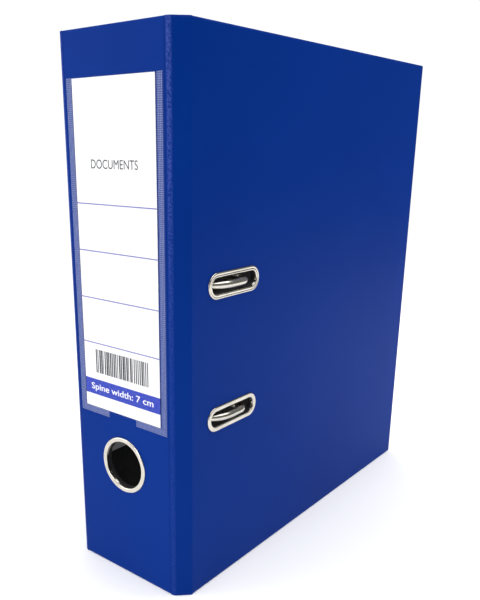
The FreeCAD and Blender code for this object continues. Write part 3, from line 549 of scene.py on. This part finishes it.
FINISHES = {
    "blue_foil": blue_foil(),
    # black paper, matt, with faint fibres
    "dark_lining": grained("dark_lining", ((0.012, 0.012, 0.014), (0.03, 0.03, 0.034)), (0.3, 0.8),
                           (900.0, 4.0, 0.25), (0.75, 0.1), (0.04, 0.4), specular_ior_level=0.2),
    # raw board, warm grey with flecks
    "greyboard": grained("greyboard", ((0.30, 0.27, 0.23), (0.46, 0.43, 0.38)), (0.35, 0.7),
                         (1400.0, 4.0), (0.85, 0.05), (0.08, 0.5), specular_ior_level=0.2),
    # bright plate, warm silver with hairline scratches and a soft ripple
    "nickel": grained("nickel", ((0.56, 0.53, 0.47), (0.64, 0.61, 0.54)), (0.3, 0.7),
                      (700.0, 3.0, 7.0), (0.16, 0.1), (0.01, 0.3), (120.0, 2.0), metallic=1.0),
    # zinc plated sheet, cool grey, with the rolling direction along the spine
    "steel": grained("steel", ((0.50, 0.51, 0.53), (0.64, 0.65, 0.66)), (0.3, 0.75),
                     (900.0, 3.0, 0.06), (0.26, 0.16), (0.02, 0.4), (60.0, 4.0), metallic=1.0),
    "clear_film": clear_film(),
    "white_card": printed_card(),
    "roller_nylon": moulded("roller_nylon", (0.05, 0.05, 0.052), 0.35),
    "black_plastic": moulded("black_plastic", (0.022, 0.022, 0.024), 0.38)}
WELD = welded_film()                    # the one look that no CAD slot has

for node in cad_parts.values():
    for held in node.material_slots:
        held.material = FINISHES[held.material.name.split(".")[0]]


def fit(thing, body, slot, *nodes):
    """Let a piece ride on its body and stand for CAD nodes; slot is not used."""
    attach(thing, body)
    if nodes:
        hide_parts(*nodes)
    return thing


def add(name, shells, body, slot, *nodes, sharp=40):
    """A piece in its slot's finish, fitted."""
    fit(piece(name, shells, FINISHES[slot], sharp), body, slot, *nodes)


# ---- the case: foil, boards and linings -----------------------------------------------
SLOT_LOW, SLOT_HIGH = corners("slot_eyelet_lower")
SLOT_RISE = SLOT_HIGH[0] - FACE_X
SLOT_FLANGE = 2.6 * MM
SLOT_BORE = (SLOT_HIGH[2] - SLOT_LOW[2]) / 2 - SLOT_FLANGE
SLOT_Y = (SLOT_LOW[1] + SLOT_HIGH[1]) / 2
SLOT_CORE = (SLOT_HIGH[1] - SLOT_LOW[1]) / 2 - SLOT_FLANGE - SLOT_BORE
PUNCH = 0.7 * MM
SLOTS = [(SLOT_Y, z, SLOT_CORE, SLOT_BORE + PUNCH) for z in (LOW_Z, HIGH_Z)]
FINGER = [(0.0, RING_Z, 0.0, RING_BORE + PUNCH)]
SPINE_TANGENT = SPINE_BEND * math.tan(QUARTER / 4)
COVER_TANGENT = COVER_BEND * math.tan(QUARTER / 4)


def layer(name, slot, body, node, spans, radius, order, soft=(1, 1, 1, 1), windows=(), step=CELL):
    """A slab over its (u, v, w) spans, where order says which of them x, y and z come from."""
    shells = soft_slab(*spans, radius, step, soft, windows)
    laid = [(points[:, list(order)], faces) for points, faces in shells]
    add(name, laid, body, slot, node)


BOARD_Z = (0.5 * MM, HEAD_Z - 0.5 * MM)
PAPER_Z = (PAPER_IN, HEAD_Z - PAPER_IN)
PAPER_THICK = LINING + 0.05 * MM        # it sinks a little into the foil's turned edge


def panel(name, body, order, soft, windows, *spans):
    """A panel of the case: foil skin, greyboard core and lining, each over its (u, v, w) spans."""
    layers = (("_skin", "blue_foil", "_foil", EDGE, soft),
              ("_core", "greyboard", "_board", 0.4 * MM, (1, 1, 1, 1)),
              ("_inner_paper", "dark_lining", "_lining", 0.09 * MM, (1, 1, 1, 1)))
    for (part, slot, node, radius, rims), span in zip(layers, spans):
        layer(name + part, slot, body, name + node, span, radius, order, rims, windows)


def cover(side, name, body, windows):
    """One cover, over depth and height."""
    start = COVER_Y + COVER_TANGENT
    face, inner = FACE_X * side, COVER_IN_X * side

    def through(outer, under):
        return tuple(sorted((outer, under)))

    panel(name, body, (2, 0, 1), (0, 1, 1, 1), windows,
          ((start, FORE_Y), (0.0, HEAD_Z), through(face, inner + LINING * side)),
          ((start - 0.2 * MM, FORE_Y - 0.5 * MM), BOARD_Z,
           through(face - 0.4 * MM * side, inner + 0.5 * MM * side)),
          ((COVER_Y + 0.2 * MM, FORE_Y - PAPER_IN), PAPER_Z,
           through(inner, inner + PAPER_THICK * side)))


def spine():
    """The spine, over width and height, with the finger hole through it."""
    flat, paper = FLAT_X - SPINE_TANGENT, FLAT_X - 0.3 * MM
    board = flat + 0.2 * MM
    panel("spine", "spine", (0, 2, 1), (0, 0, 1, 1), FINGER,
          ((-flat, flat), (0.0, HEAD_Z), (SPINE_Y, SPINE_IN_Y - LINING)),
          ((-board, board), BOARD_Z, (SPINE_Y + 0.45 * MM, SPINE_IN_Y - 0.5 * MM)),
          ((-paper, paper), PAPER_Z, (SPINE_IN_Y - PAPER_THICK, SPINE_IN_Y)))


cover(1, "front", "front_cover", SLOTS)
cover(-1, "back", "back_cover", [])
spine()


def carried(run, u_share, inward):
    """Points at arc-length share u_share along run, moved inward along its left normal."""
    length = measured(run)
    way = unit(np.diff(run, axis=0))
    tangent = unit(np.vstack([way[:1], way[1:] + way[:-1], way[-1:]]))
    at = u_share * length[-1]
    place = np.stack([np.interp(at, length, run[:, k]) for k in range(2)], axis=-1)
    heading = unit(np.stack([np.interp(at, length, tangent[:, k]) for k in range(2)], axis=-1))
    normal = np.stack([-heading[..., 1], heading[..., 0]], axis=-1)
    return place + normal * inward[..., None]


def hinge(side, name):
    """The hinge: outer foil and inner paper, each bent along its own line.

    The foil's line leaves the spine's flat, turns 45 degrees on the spine bend, runs down the
    bevel and turns 45 degrees again on the cover bend.
    """
    def strip(stops, bends, turns, rim, thick, radius, marks):
        run = rounded_run(stops, bends, turns) * np.array([side, 1.0])
        length = measured(run)
        marks_u = np.append(length / length[-1], np.linspace(0, 1, marks))
        shells = soft_slab((0, 1), (rim, HEAD_Z - rim), (-thick, 0), radius, CELL, (0, 0, 1, 1),
                           marks_u=marks_u)
        return bent(shells, lambda points: np.column_stack(
            [carried(run, points[:, 0], -points[:, 2] * side), points[:, 1]]))

    lap = 0.01 * MM
    bevel = [(FLAT_X - SPINE_TANGENT - lap, SPINE_Y), (FLAT_X, SPINE_Y),
             (FACE_X, COVER_Y), (FACE_X, COVER_Y + COVER_TANGENT + lap)]
    foil = strip(bevel, (SPINE_BEND, COVER_BEND), 11, 0.05 * MM, HINGE_FOIL, 0.2 * MM, 33)
    skin = piece(name + "_hinge_foil", foil, FINISHES["blue_foil"])
    spine_in, cover_in = SPINE_IN_Y - 0.12 * MM, COVER_IN_X + 0.12 * MM
    groove = [(FLAT_X - 2.2 * MM, spine_in), (FLAT_X + 0.1 * MM, spine_in),
              (FLAT_X + 0.9 * MM, SPINE_Y + 1.5 * MM), (FACE_X - 1.5 * MM, COVER_Y - 0.9 * MM),
              (cover_in, COVER_Y - 0.1 * MM), (cover_in, COVER_Y + 2.2 * MM)]
    folds = np.array([0.45, 0.7, 0.7, 0.45]) * MM
    paper = strip(groove, folds, 7, PAPER_IN + 0.3 * MM, 0.16 * MM, 0.05 * MM, 25)
    lining = piece(name + "_hinge_paper", paper, FINISHES["dark_lining"])
    for made, slot in ((skin, "blue_foil"), (lining, "dark_lining")):
        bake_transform(made)
    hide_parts(name + "_hinge_strip")


hinge(1, "front")
hinge(-1, "back")

# ---- eyelets --------------------------------------------------------------------------
LIP = 0.7 * MM                          # the bright tube of an eyelet ends this far down


def shade_sleeve(half_core, bore, depth):
    """A dark sleeve of painted shade under an eyelet's lip: a thin wall carried round the same stadium.
    """
    inner, outer = 0.02 * MM, 0.45 * MM
    section = np.array([[inner, -LIP], [outer, -LIP], [outer, -depth], [inner, -depth]])
    return around_stadium(section, half_core, bore)


def on_spine(points):
    """(u, v, w) of the finger hole onto the spine."""
    return np.column_stack([points[:, 0], SPINE_Y - points[:, 2], points[:, 1] + RING_Z])


ring_flange = RING_HIGH[0] - RING_BORE
ring_rim = eyelet(0.0, RING_BORE, ring_flange, SPINE_Y - RING_LOW[1], LIP)
# a dark sleeve of painted shade inside the finger hole, below the bright lip
ring_shade_sleeve = shade_sleeve(0.0, RING_BORE, RING_HIGH[1] - SPINE_Y)
add("finger_hole_ring", bent(ring_rim, on_spine), "spine", "nickel", "finger_ring")
add("finger_hole_shade_sleeve", bent(ring_shade_sleeve, on_spine), "spine", "dark_lining")
for place, z in (("lower", LOW_Z), ("upper", HIGH_Z)):
    def on_cover(points):
        """(u, v, w) of a slot onto the front cover."""
        return np.column_stack([FACE_X + points[:, 2], points[:, 0] + SLOT_Y, points[:, 1] + z])

    rim = bent(eyelet(SLOT_CORE, SLOT_BORE, SLOT_FLANGE, SLOT_RISE, LIP), on_cover)
    # a dark sleeve of painted shade inside the slot, below the bright lip
    slot_shade = bent(shade_sleeve(SLOT_CORE, SLOT_BORE, FACE_X - SLOT_LOW[0]), on_cover)
    add("slot_rim_" + place, rim, "front_cover", "nickel", "slot_eyelet_" + place)
    add("slot_throat_" + place, slot_shade, "front_cover", "dark_lining")

# ---- label card and its pocket --------------------------------------------------------
layer("title_card", "white_card", "label_card", "label_card",
      ((CARD_LOW[0], CARD_HIGH[0]), (CARD_LOW[2], CARD_HIGH[2]), (CARD_LOW[1], CARD_HIGH[1])),
      0.1 * MM, (0, 2, 1))


def lettering(name, words, width, height, centre_z, finish, weight=0.0):
    """Plain lettering in thin relief on the card, width wide and height tall."""
    text = bpy.data.curves.new(name, "FONT")
    text.body = words
    text.extrude = 0.5
    text.offset = weight
    holder = put(name + "_text", text)
    bpy.context.view_layer.update()
    seen = bpy.context.evaluated_depsgraph_get()
    mesh = bpy.data.meshes.new_from_object(holder.evaluated_get(seen))
    bpy.data.objects.remove(holder)
    points = np.empty(len(mesh.vertices) * 3, np.float32)
    mesh.vertices.foreach_get("co", points)
    points = points.reshape(-1, 3).astype(float)
    low, high = points.min(0), points.max(0)
    share = (points - (low + high) / 2) / (high - low)
    depth = CARD_LOW[1] - 0.012 * MM - share[:, 2] * 0.03 * MM
    placed = np.column_stack([share[:, 0] * width, depth, share[:, 1] * height + centre_z])
    mesh.vertices.foreach_set("co", placed.astype(np.float32).ravel())
    mesh.name = name
    mesh.materials.clear()
    mesh.materials.append(finish)
    fit(put(name, mesh), "label_card", "white_card")


TITLE_INK = ink("title_ink", (0.004, 0.004, 0.005))
lettering("card_title", "DOCUMENTS", 32 * MM, 4.3 * MM, 223 * MM, TITLE_INK)
WHITE_INK = ink("white_ink", (0.85, 0.85, 0.86))
lettering("card_width", "Spine width: 7 cm", 46 * MM, 4.7 * MM, 106.9 * MM, WHITE_INK, 0.01)

WELD_WIDE = 3.8 * MM
NOTCH = 10 * MM                         # half the thumb notch in the pocket's foot
FILM_IN = WELD_WIDE - 0.3 * MM          # the film runs a little under the welds
layer("pocket_window", "clear_film", "spine", "label_pocket",
      ((POCKET_LOW[0] + FILM_IN, POCKET_HIGH[0] - FILM_IN),
       (POCKET_LOW[2] + WELD_WIDE - 0.2 * MM, POCKET_HIGH[2]),
       (POCKET_LOW[1] + 0.02 * MM, CARD_LOW[1] - 0.07 * MM)), 0.08 * MM, (0, 2, 1))


def knurled(name, x_span, z_span, across, along):
    """A welded strip: a pillow whose top is pressed into rows of points, cos(u) * cos(v) deep."""
    spacing, sunk = 0.3 * MM, SPINE_Y + 0.05 * MM
    x, z = np.meshgrid(ruled(*x_span, spacing), ruled(*z_span, spacing), indexing="ij")
    in_x = np.minimum(x - x_span[0], x_span[1] - x)
    in_z = np.minimum(z - z_span[0], z_span[1] - z)
    swell = np.clip(np.minimum(in_x, in_z) / (0.45 * MM), 0, 1) ** 0.5
    turn = 2 * HALF_TURN
    points = np.cos(turn * (x - x_span[0]) / across) * np.cos(turn * (z - z_span[0]) / along)
    rise = (0.3 * MM + 0.1 * MM * points) * swell
    top = np.stack([x, SPINE_Y - rise, z], axis=-1)
    foot = np.stack([x, np.full_like(x, sunk), z], axis=-1)
    rim = np.concatenate([top[:, 0], top[-1, 1:], top[-2::-1, -1], top[0, -2:0:-1]])
    sole = rim.copy()
    sole[:, 1] = sunk
    wall = patch(np.stack([rim, sole], axis=1), around=True)
    fit(piece(name, [patch(top), patch(foot), wall], WELD, sharp=60), "spine", "clear_film")


WELD_FOOT = POCKET_LOW[2] + WELD_WIDE
for name, x_span in (("left", (POCKET_LOW[0], POCKET_LOW[0] + WELD_WIDE)),
                     ("right", (POCKET_HIGH[0] - WELD_WIDE, POCKET_HIGH[0]))):
    knurled("pocket_weld_" + name, x_span, (WELD_FOOT, POCKET_HIGH[2]), KNURL, 1.65 * MM)
for name, x_span in (("left", (POCKET_LOW[0], -NOTCH)), ("right", (NOTCH, POCKET_HIGH[0]))):
    z_span = (POCKET_LOW[2], WELD_FOOT - 0.05 * MM)
    knurled("pocket_foot_" + name, x_span, z_span, 40 * MM, 0.95 * MM)

# ---- arches ---------------------------------------------------------------------------
AXLE_LIFT = 1.2 * MM                    # underside of the axle over the base plate
AXLE_X = SADDLE_LOW[0] + AXLE_LIFT + WIRE
AXLE_Y = YOKE_LOW[1] + WIRE
CROWN_X = YOKE_HIGH[0] - WIRE
TIP_X = POST_HIGH[0] + SEAT_GAP
CRANK_Y = AXLE_Y + 9 * MM
CRANK_HALF = 8 * MM                     # crank arms from the middle
TIP_BEND, CROWN_BEND, AXLE_BEND, CRANK_BEND = 6 * MM, 17 * MM, 6 * MM, 4 * MM


def arch_wire():
    """Both arches, axle and crank as one bent wire, with a cone on each tip."""
    def half(z, inner_z):
        return [(TIP_X, POST_Y, z), (CROWN_X, POST_Y, z), (CROWN_X, AXLE_Y, z), (AXLE_X, AXLE_Y, z),
                (AXLE_X, AXLE_Y, inner_z), (AXLE_X, CRANK_Y, inner_z)]

    bends = [TIP_BEND, CROWN_BEND, AXLE_BEND, CRANK_BEND, CRANK_BEND]
    first, last = half(LOW_Z, MID_Z - CRANK_HALF), half(HIGH_Z, MID_Z + CRANK_HALF)[::-1]
    run = rounded_run(first + last, bends + bends[::-1])
    # (along the wire, radius) of the cone and its rounded shoulder
    tip = np.array([[-0.7, 0.1], [-0.65, 0.22], [-0.02, 1.65], [0.0, 1.75], [0.06, 1.9], [0.2, 2.0]]) * MM
    lead_in = run[0] + tip[:, :1] * np.array([1.0, 0, 0])
    lead_out = run[-1] + tip[::-1, :1] * np.array([1.0, 0, 0])
    pole_in, pole_out = lead_in[:1] - [1e-5, 0, 0], lead_out[-1:] - [1e-5, 0, 0]
    path = np.vstack([pole_in, lead_in, run[1:-1], lead_out, pole_out])
    radii = np.concatenate([[0], tip[:, 1], np.full(len(run) - 2, WIRE), tip[::-1, 1], [0]])
    return [swept(path, radii)]


add("arch_wire", arch_wire(), "arches", "nickel", "arch_yoke", sharp=50)

# ---- posts, compressor bar and rivets -------------------------------------------------
def post(name, node, z):
    """A turned post: foot collar, plain shank, rounded crown and the arch tip's cone seat."""
    tall = (POST_HIGH[0] - POST_LOW[0]) / MM
    seat = tall - 0.85
    collar = [[0, 0], [0, 3.5], [0.7, 3.5], [1.0, 3.3], [1.1, 2.9], [1.15, 2.5]]
    crown = [[tall - 0.7, 2.5], [tall - 0.3, 2.4], [tall - 0.08, 2.22], [tall, 1.98], [tall, 1.9]]
    profile = np.array(collar + crown + [[seat, 0.2], [seat, 0]]) * MM
    turned_post = lathe((POST_LOW[0], POST_Y, z), (1, 0, 0), profile)
    add(name, [turned_post], "back_cover", "nickel", node, sharp=30)


post("post_lower", "paper_post_lower", LOW_Z)
post("post_upper", "paper_post_upper", HIGH_Z)


BAR_X, BAR_Y, BAR_Z = zip(*corners("compressor_bar"))
BAR_HOLES = [(POST_Y, z, 0.0, 2.8 * MM) for z in (LOW_Z, HIGH_Z)]
layer("compressor", "black_plastic", "compressor", "compressor_bar", (BAR_Y, BAR_Z, BAR_X),
      0.9 * MM, (2, 0, 1), windows=BAR_HOLES, step=3 * MM)


def rivets():
    """Four domed rivets through the back cover and the base plate, clenched inside."""
    low, high = corners("cover_rivets")
    head = 4.5 * MM
    dome = [[0, 0], [0.03, 1.0], [0.16, 2.2], [0.42, 3.3], [0.8, 4.05], [1.15, 4.42], [1.4, 4.5]]
    shank = [[1.44, 4.4], [1.44, 2.0], [5.1, 2.0]]
    clench = [[5.12, 3.0], [5.45, 2.95], [5.8, 2.3], [5.9, 1.2], [5.9, 0]]
    profile = np.array(dome + shank + clench) * MM
    shells = [lathe((low[0], y, z), (1, 0, 0), profile)
              for y in (low[1] + head, high[1] - head) for z in (low[2] + head, high[2] - head)]
    add("rivets", shells, "back_cover", "nickel", "cover_rivets", sharp=50)


rivets()

# ---- base plate, lever and bearings ---------------------------------------------------
SHEET = 1.2 * MM                        # plate, lever and saddles are one gauge
PLATE_LOW, PLATE_HIGH = corners("base_plate")
PLATE_FACE = PLATE_LOW[0] + SHEET
PIVOT = sum(corners("lever_pin")) / 2
ROLLER = sum(corners("roller_axle")) / 2
LEVER_LOW, LEVER_HIGH = corners("lever")
HUB, EYE = 4.8 * MM, 3.7 * MM           # lever sheet round the pivot and round the roller
REACH, ROLL = 38 * MM, 3 * MM           # pivot to the rolled tip, and the tip's radius
RIM = 0.2 * MM                          # rounding of cut sheet
PIVOT_PIN, ROLLER_PIN = 2.0 * MM, 1.5 * MM
PIN_PLAY = 0.05 * MM
CREST = 0.8 * MM                        # height of the ribs pressed in the base plate
RIB_FROM, RIB_TO = 46 * MM, 62 * MM     # the ribs' run, from the middle
RIB_SIDE, RIB_HALF = 11 * MM, 2.6 * MM  # from the plate's middle line, and half a rib's width
EAR, EAR_IN = 5 * MM, 12.6 * MM         # an ear's round, and its inner face from the middle
SLANT = math.radians(44)                # of the closed lever, from the base plate
ALONG = np.array([math.sin(SLANT), -math.cos(SLANT)])
ABOVE = np.array([math.cos(SLANT), math.sin(SLANT)])


def met(lines):
    """The corners where each (normal, distance) line meets the next, round a closed outline."""
    pairs = zip(lines, lines[1:] + lines[:1])
    return [np.linalg.solve(np.array([a[0], b[0]]), np.array([a[1], b[1]])) for a, b in pairs]


def rounded_loop(outline, radii):
    """A closed outline with its corners rounded, resampled so that its points stand evenly."""
    outline = [np.asarray(corner, float) for corner in outline]
    start = (outline[-1] + outline[0]) / 2
    run = rounded_run([start] + outline + [start], radii)
    length = measured(run)
    even = np.linspace(0, length[-1], 240, endpoint=False)
    return np.column_stack([np.interp(even, length, run[:, 0]), np.interp(even, length, run[:, 1])])


def stamped(outline, low, high, centre, hole, soft=RIM):
    """Sheet cut to an outline in (u, v), from w = low to high, with a hole at the centre."""
    ahead = unit(np.roll(outline, -1, axis=0) - np.roll(outline, 1, axis=0))
    outward = np.column_stack([ahead[:, 1], -ahead[:, 0]])
    if np.sum((outline - outline.mean(axis=0)) * outward) < 0:
        outward = -outward
    nearly = 0.3 * soft                 # how far a 45 degree point of the rounding stands in
    steps = [(None, low), (soft, low), (nearly, low + nearly), (0.0, low + soft),
             (0.0, high - soft), (nearly, high - nearly), (soft, high), (None, high)]
    rings = []
    for inset, level in steps:
        if inset is None:
            ring = centre + hole * unit(outline - centre)
        else:
            ring = outline - inset * outward
        rings.append(np.column_stack([ring, np.full(len(outline), level)]))
    return patch(np.stack(rings + rings[:1], axis=1), around=True)


def strap(route, thick, low, high, soft=RIM):
    """A strip of sheet bent along a route in (x, y), from z = low to high, with rounded rims."""
    ahead = unit(np.gradient(route, axis=0))
    side = np.column_stack([-ahead[:, 1], ahead[:, 0]])
    half = thick / 2
    inner = half - soft
    rim = np.array([[half, low + soft], [inner, low], [-inner, low], [-half, low + soft],
                    [-half, high - soft], [-inner, high], [inner, high], [half, high - soft]])
    flat = route + rim[:, None, :1] * side
    height = np.broadcast_to(rim[:, None, 1:], flat.shape[:2] + (1,))
    return capped(np.concatenate([flat, height], axis=-1))


def ribbed_plate():
    """The plate: each section across is a flat loop, narrower in the corners, raised by ribs.

    A rib's height over the plate is (1 + cos(pi d)) / 2, d being the distance from its line
    over its half width, up to 1.
    """
    corner, soft = 4.5 * MM, 0.25 * MM
    low, high = PLATE_LOW[2], PLATE_HIGH[2]
    v = ruled(low, high, 1.5 * MM, corner * (1 - np.cos(np.linspace(0, QUARTER, 9))) + low)
    v = np.unique(np.round(np.append(v, low + high - v), 8))
    end = np.clip(corner - np.minimum(v - low, high - v), 0, corner)
    half = (PLATE_HIGH[1] - PLATE_LOW[1]) / 2 - corner + np.sqrt(corner ** 2 - end ** 2)
    y = np.linspace(-1, 1, 61)[:, None] * (half - soft)
    from_middle = np.abs(v - MID_Z)
    past = np.clip(from_middle - RIB_TO, 0, None) + np.clip(RIB_FROM - from_middle, 0, None)
    away = np.hypot(np.abs(np.abs(y) - RIB_SIDE), past)
    crest = CREST * (0.5 + 0.5 * np.cos(np.clip(away / RIB_HALF, 0, 1) * HALF_TURN))
    middle = (PLATE_LOW[1] + PLATE_HIGH[1]) / 2
    height = np.broadcast_to(v, y.shape)
    top = np.stack([PLATE_FACE + crest, middle + y, height], axis=-1)
    sole = np.stack([np.full(y.shape, PLATE_LOW[0]), middle + y, height], axis=-1)[::-1]
    rims = [np.stack([np.full(len(v), level), middle + way * half, v], axis=-1)[None]
            for way, level in ((1, PLATE_FACE - soft), (1, PLATE_LOW[0] + soft),
                               (-1, PLATE_LOW[0] + soft), (-1, PLATE_FACE - soft))]
    return capped(np.concatenate([top] + rims[:2] + [sole] + rims[2:]))


def plate():
    """The base plate with its two ears, which hold the lever's pin."""
    base, top = PLATE_FACE - SHEET / 2, PIVOT[0] + EAR
    near, far = PIVOT[1] - EAR, PIVOT[1] + EAR
    outline = rounded_loop([(base, near - 2 * MM), (base, far), (top, far), (top, near)],
                           [0.5 * MM, 0.5 * MM, 4.8 * MM, 4.8 * MM])
    shells = [ribbed_plate()]
    for low in (MID_Z + EAR_IN, MID_Z - EAR_IN - SHEET):
        shells.append(stamped(outline, low, low + SHEET, PIVOT[:2], PIVOT_PIN))
    add("mechanism_plate", shells, "back_cover", "steel", "base_plate")


def lever_sheet():
    """The lever: two cheeks over hub and roller's eye, and a web that ends in a rolled tip."""
    eye_at = ROLLER[:2] - PIVOT[:2]
    arm = float(np.linalg.norm(eye_at))
    toward = eye_at / arm
    beside = np.array([-toward[1], toward[0]])
    if beside @ ABOVE < 0:
        beside = -beside
    lean = (HUB - EYE) / arm
    end = REACH - ROLL / 2
    fall = (2 * HUB - SHEET) / end
    upright = math.sqrt(1 - lean ** 2)
    lines = [(ALONG, end), (ABOVE, HUB), (lean * toward + upright * beside, HUB),
             (toward, arm + EYE), (lean * toward - upright * beside, HUB),
             (unit(-ABOVE + fall * ALONG), HUB)]
    radii = np.array([0.4, 4.8, 3.6, 3.6, 2.5, 0.3]) * MM
    outline = rounded_loop(met(lines), radii) + PIVOT[:2]
    half = (LEVER_HIGH[2] - LEVER_LOW[2]) / 2
    shells = [stamped(outline, low, low + SHEET, PIVOT[:2], PIVOT_PIN + PIN_PLAY)
              for low in (MID_Z - half, MID_Z + half - SHEET)]
    curled = 1.786 * HALF_TURN          # nearly a full turn
    turn = np.linspace(QUARTER, QUARTER - curled, 60)[:, None]
    tip_at = ALONG * REACH + ABOVE * (HUB - ROLL)
    curl = tip_at + (ROLL - SHEET / 2) * (np.cos(turn) * ALONG + np.sin(turn) * ABOVE)
    run = np.linspace(HUB * 0.9, REACH, 30)[:-1, None]
    web = np.concatenate([run * ALONG + (HUB - SHEET / 2) * ABOVE, curl]) + PIVOT[:2]
    half -= 0.02 * MM
    shells.append(strap(web, SHEET, MID_Z - half, MID_Z + half))
    add("lever_channel", shells, "lever", "nickel", "lever")


def pin(name, node, body, radius):
    """A pin across the mechanism with domed ends."""
    low, high = corners(node)
    long = (high[2] - low[2]) / MM
    wide = radius / MM
    profile = np.array([[0, 0], [0.02, 0.4 * wide], [0.12, 0.7 * wide], [0.35, 0.93 * wide],
                        [0.55, wide]])
    profile = np.concatenate([profile, profile[::-1] * [-1, 1] + [long, 0]]) * MM
    start = (low + high) / 2
    start[2] = low[2]
    add(name, [lathe(start, (0, 0, 1), profile)], body, "steel", node, sharp=50)


def bearings():
    """Saddles over the arches' axle, the leaf spring, the pins and the roller."""
    axle_x = PLATE_FACE + AXLE_LIFT + WIRE
    axle_y = (SADDLE_LOW[1] + SADDLE_HIGH[1]) / 2
    bow = WIRE + PIN_PLAY + SHEET / 2
    foot_x = PLATE_FACE + SHEET / 2
    for place in ("lower", "upper"):
        low, high = corners("axle_saddle_" + place)
        bend = [(foot_x, low[1]), (foot_x, axle_y - bow), (axle_x + bow, axle_y - bow),
                (axle_x + bow, axle_y + bow), (foot_x, axle_y + bow), (foot_x, high[1])]
        route = rounded_run(bend, np.array([0.8, 2.6, 2.6, 0.8]) * MM)
        saddle = strap(route, SHEET, low[2], high[2])
        add("saddle_" + place, [saddle], "back_cover", "steel", "axle_saddle_" + place)
    low, high = corners("leaf_spring")
    thick = 0.5 * MM
    flat, lifted = low[0] + thick / 2, high[0] - thick / 2
    bend = [(flat, low[1]), (flat, low[1] + 9 * MM), (lifted, high[1] - 3 * MM), (lifted, high[1])]
    leaf = strap(rounded_run(bend, [5 * MM, 5 * MM]), thick, low[2], high[2], 0.1 * MM)
    add("leaf", [leaf], "back_cover", "steel", "leaf_spring")
    pin("pivot_pin", "lever_pin", "back_cover", PIVOT_PIN)
    pin("roller_pin", "roller_axle", "lever", ROLLER_PIN)
    low, high = corners("lever_roller")
    long, wide = (high[2] - low[2]) / MM, (high[0] - low[0]) / 2 / MM
    bore = (ROLLER_PIN + PIN_PLAY) / MM
    end = np.array([[0.0, bore], [0.0, wide - 0.9], [0.15, wide - 0.35], [0.5, wide],
                    [long / 2 - 4, wide], [long / 2 - 3.7, wide - 0.15]])
    profile = np.concatenate([end, end[::-1] * [-1, 1] + [long, 0], end[:1]]) * MM
    roller = lathe((ROLLER[0], ROLLER[1], low[2]), (0, 0, 1), profile)
    add("roller", [roller], "lever_roller", "roller_nylon", "lever_roller")


plate()
lever_sheet()
bearings()

# ---- floor, light and camera ----------------------------------------------------------
bpy.context.scene.view_settings.view_transform = "Standard"


def studio_floor():
    """A round pale floor, and a white backdrop beyond it that only the camera sees."""
    angle = np.linspace(0, 2 * HALF_TURN, 96, endpoint=False)[:, None]

    def spun(reach, level):
        ring = [np.cos(angle) * reach, np.sin(angle) * reach, level + 0 * angle * reach]
        return [patch(np.stack(ring, axis=-1), around=True)]

    rise = np.linspace(-QUARTER, QUARTER, 33)
    pale = Finish("studio_floor", roughness=0.7, specular_ior_level=0.1,
                  emission_color=(1, 1, 1), emission_strength=0.12)
    pale.set(base_color=pale.mix(pale.noise(3.0, 2.0), (0.88, 0.88, 0.89), (0.91, 0.91, 0.91)))
    white = Finish("studio_backdrop", base_color=(0, 0, 0), specular_ior_level=0.0,
                   emission_strength=1.05)
    white.set(emission_color=white.mix(white.noise(0.2, 1.0), (1, 1, 1), (0.99, 0.99, 0.99)))
    floor = piece("studio_floor", spun(np.linspace(0, 1.15, 14), -0.02 * MM), pale.material)
    backdrop = piece("studio_backdrop", spun(9 * np.cos(rise), 9 * np.sin(rise)), white.material)
    for use in ("diffuse", "glossy", "transmission", "shadow", "volume_scatter"):
        setattr(backdrop, "visible_" + use, False)


def softbox(name, place, target, width, height, power):
    """A rectangular lamp at place that faces target."""
    light = bpy.data.lights.new(name, "AREA")
    light.shape = "RECTANGLE"
    light.size, light.size_y = width, height
    light.energy = power
    lamp = put(name, light)
    way = unit(np.array(target, float) - np.array(place, float))
    lamp.rotation_euler = Vector(way).to_track_quat("-Z", "Y").to_euler()
    lamp.location = place
    return lamp


def studio():
    """White surroundings, three softboxes, a fill that glossy surfaces don't show, and the camera."""
    world = bpy.data.worlds.new("studio")
    world.use_nodes = True
    backdrop = world.node_tree.nodes["Background"]
    backdrop.inputs["Color"].default_value = (1, 1, 1, 1)
    backdrop.inputs["Strength"].default_value = 0.2
    bpy.context.scene.world = world
    middle = (0.0, 0.0, 0.14)
    softbox("front_softbox", (0.02, -1.5, 0.40), middle, 0.3, 0.6, 5.5)
    softbox("left_softbox", (-1.2, -1.2, 0.45), middle, 1.0, 1.0, 9)
    softbox("overhead_softbox", (0.0, 0.0, 2.0), (0, 0, 0), 2.8, 2.8, 68)
    fill = softbox("fore_edge_fill", (0.62, 0.5, 0.3), (0.04, 0.08, 0.1), 0.4, 0.4, 2.0)
    fill.visible_glossy = False
    view = bpy.data.cameras.new("camera")
    view.lens, view.sensor_width = 41.32, 36.0
    view.shift_x, view.shift_y = 0.0613, 0.0983
    view.clip_start = 0.01
    camera = put("camera", view)
    camera.location = (0.24839, -0.35891, 0.23153)
    camera.rotation_euler = [math.radians(a) for a in (72.817, -0.200, 39.584)]
    bpy.context.scene.camera = camera


studio_floor()
studio()
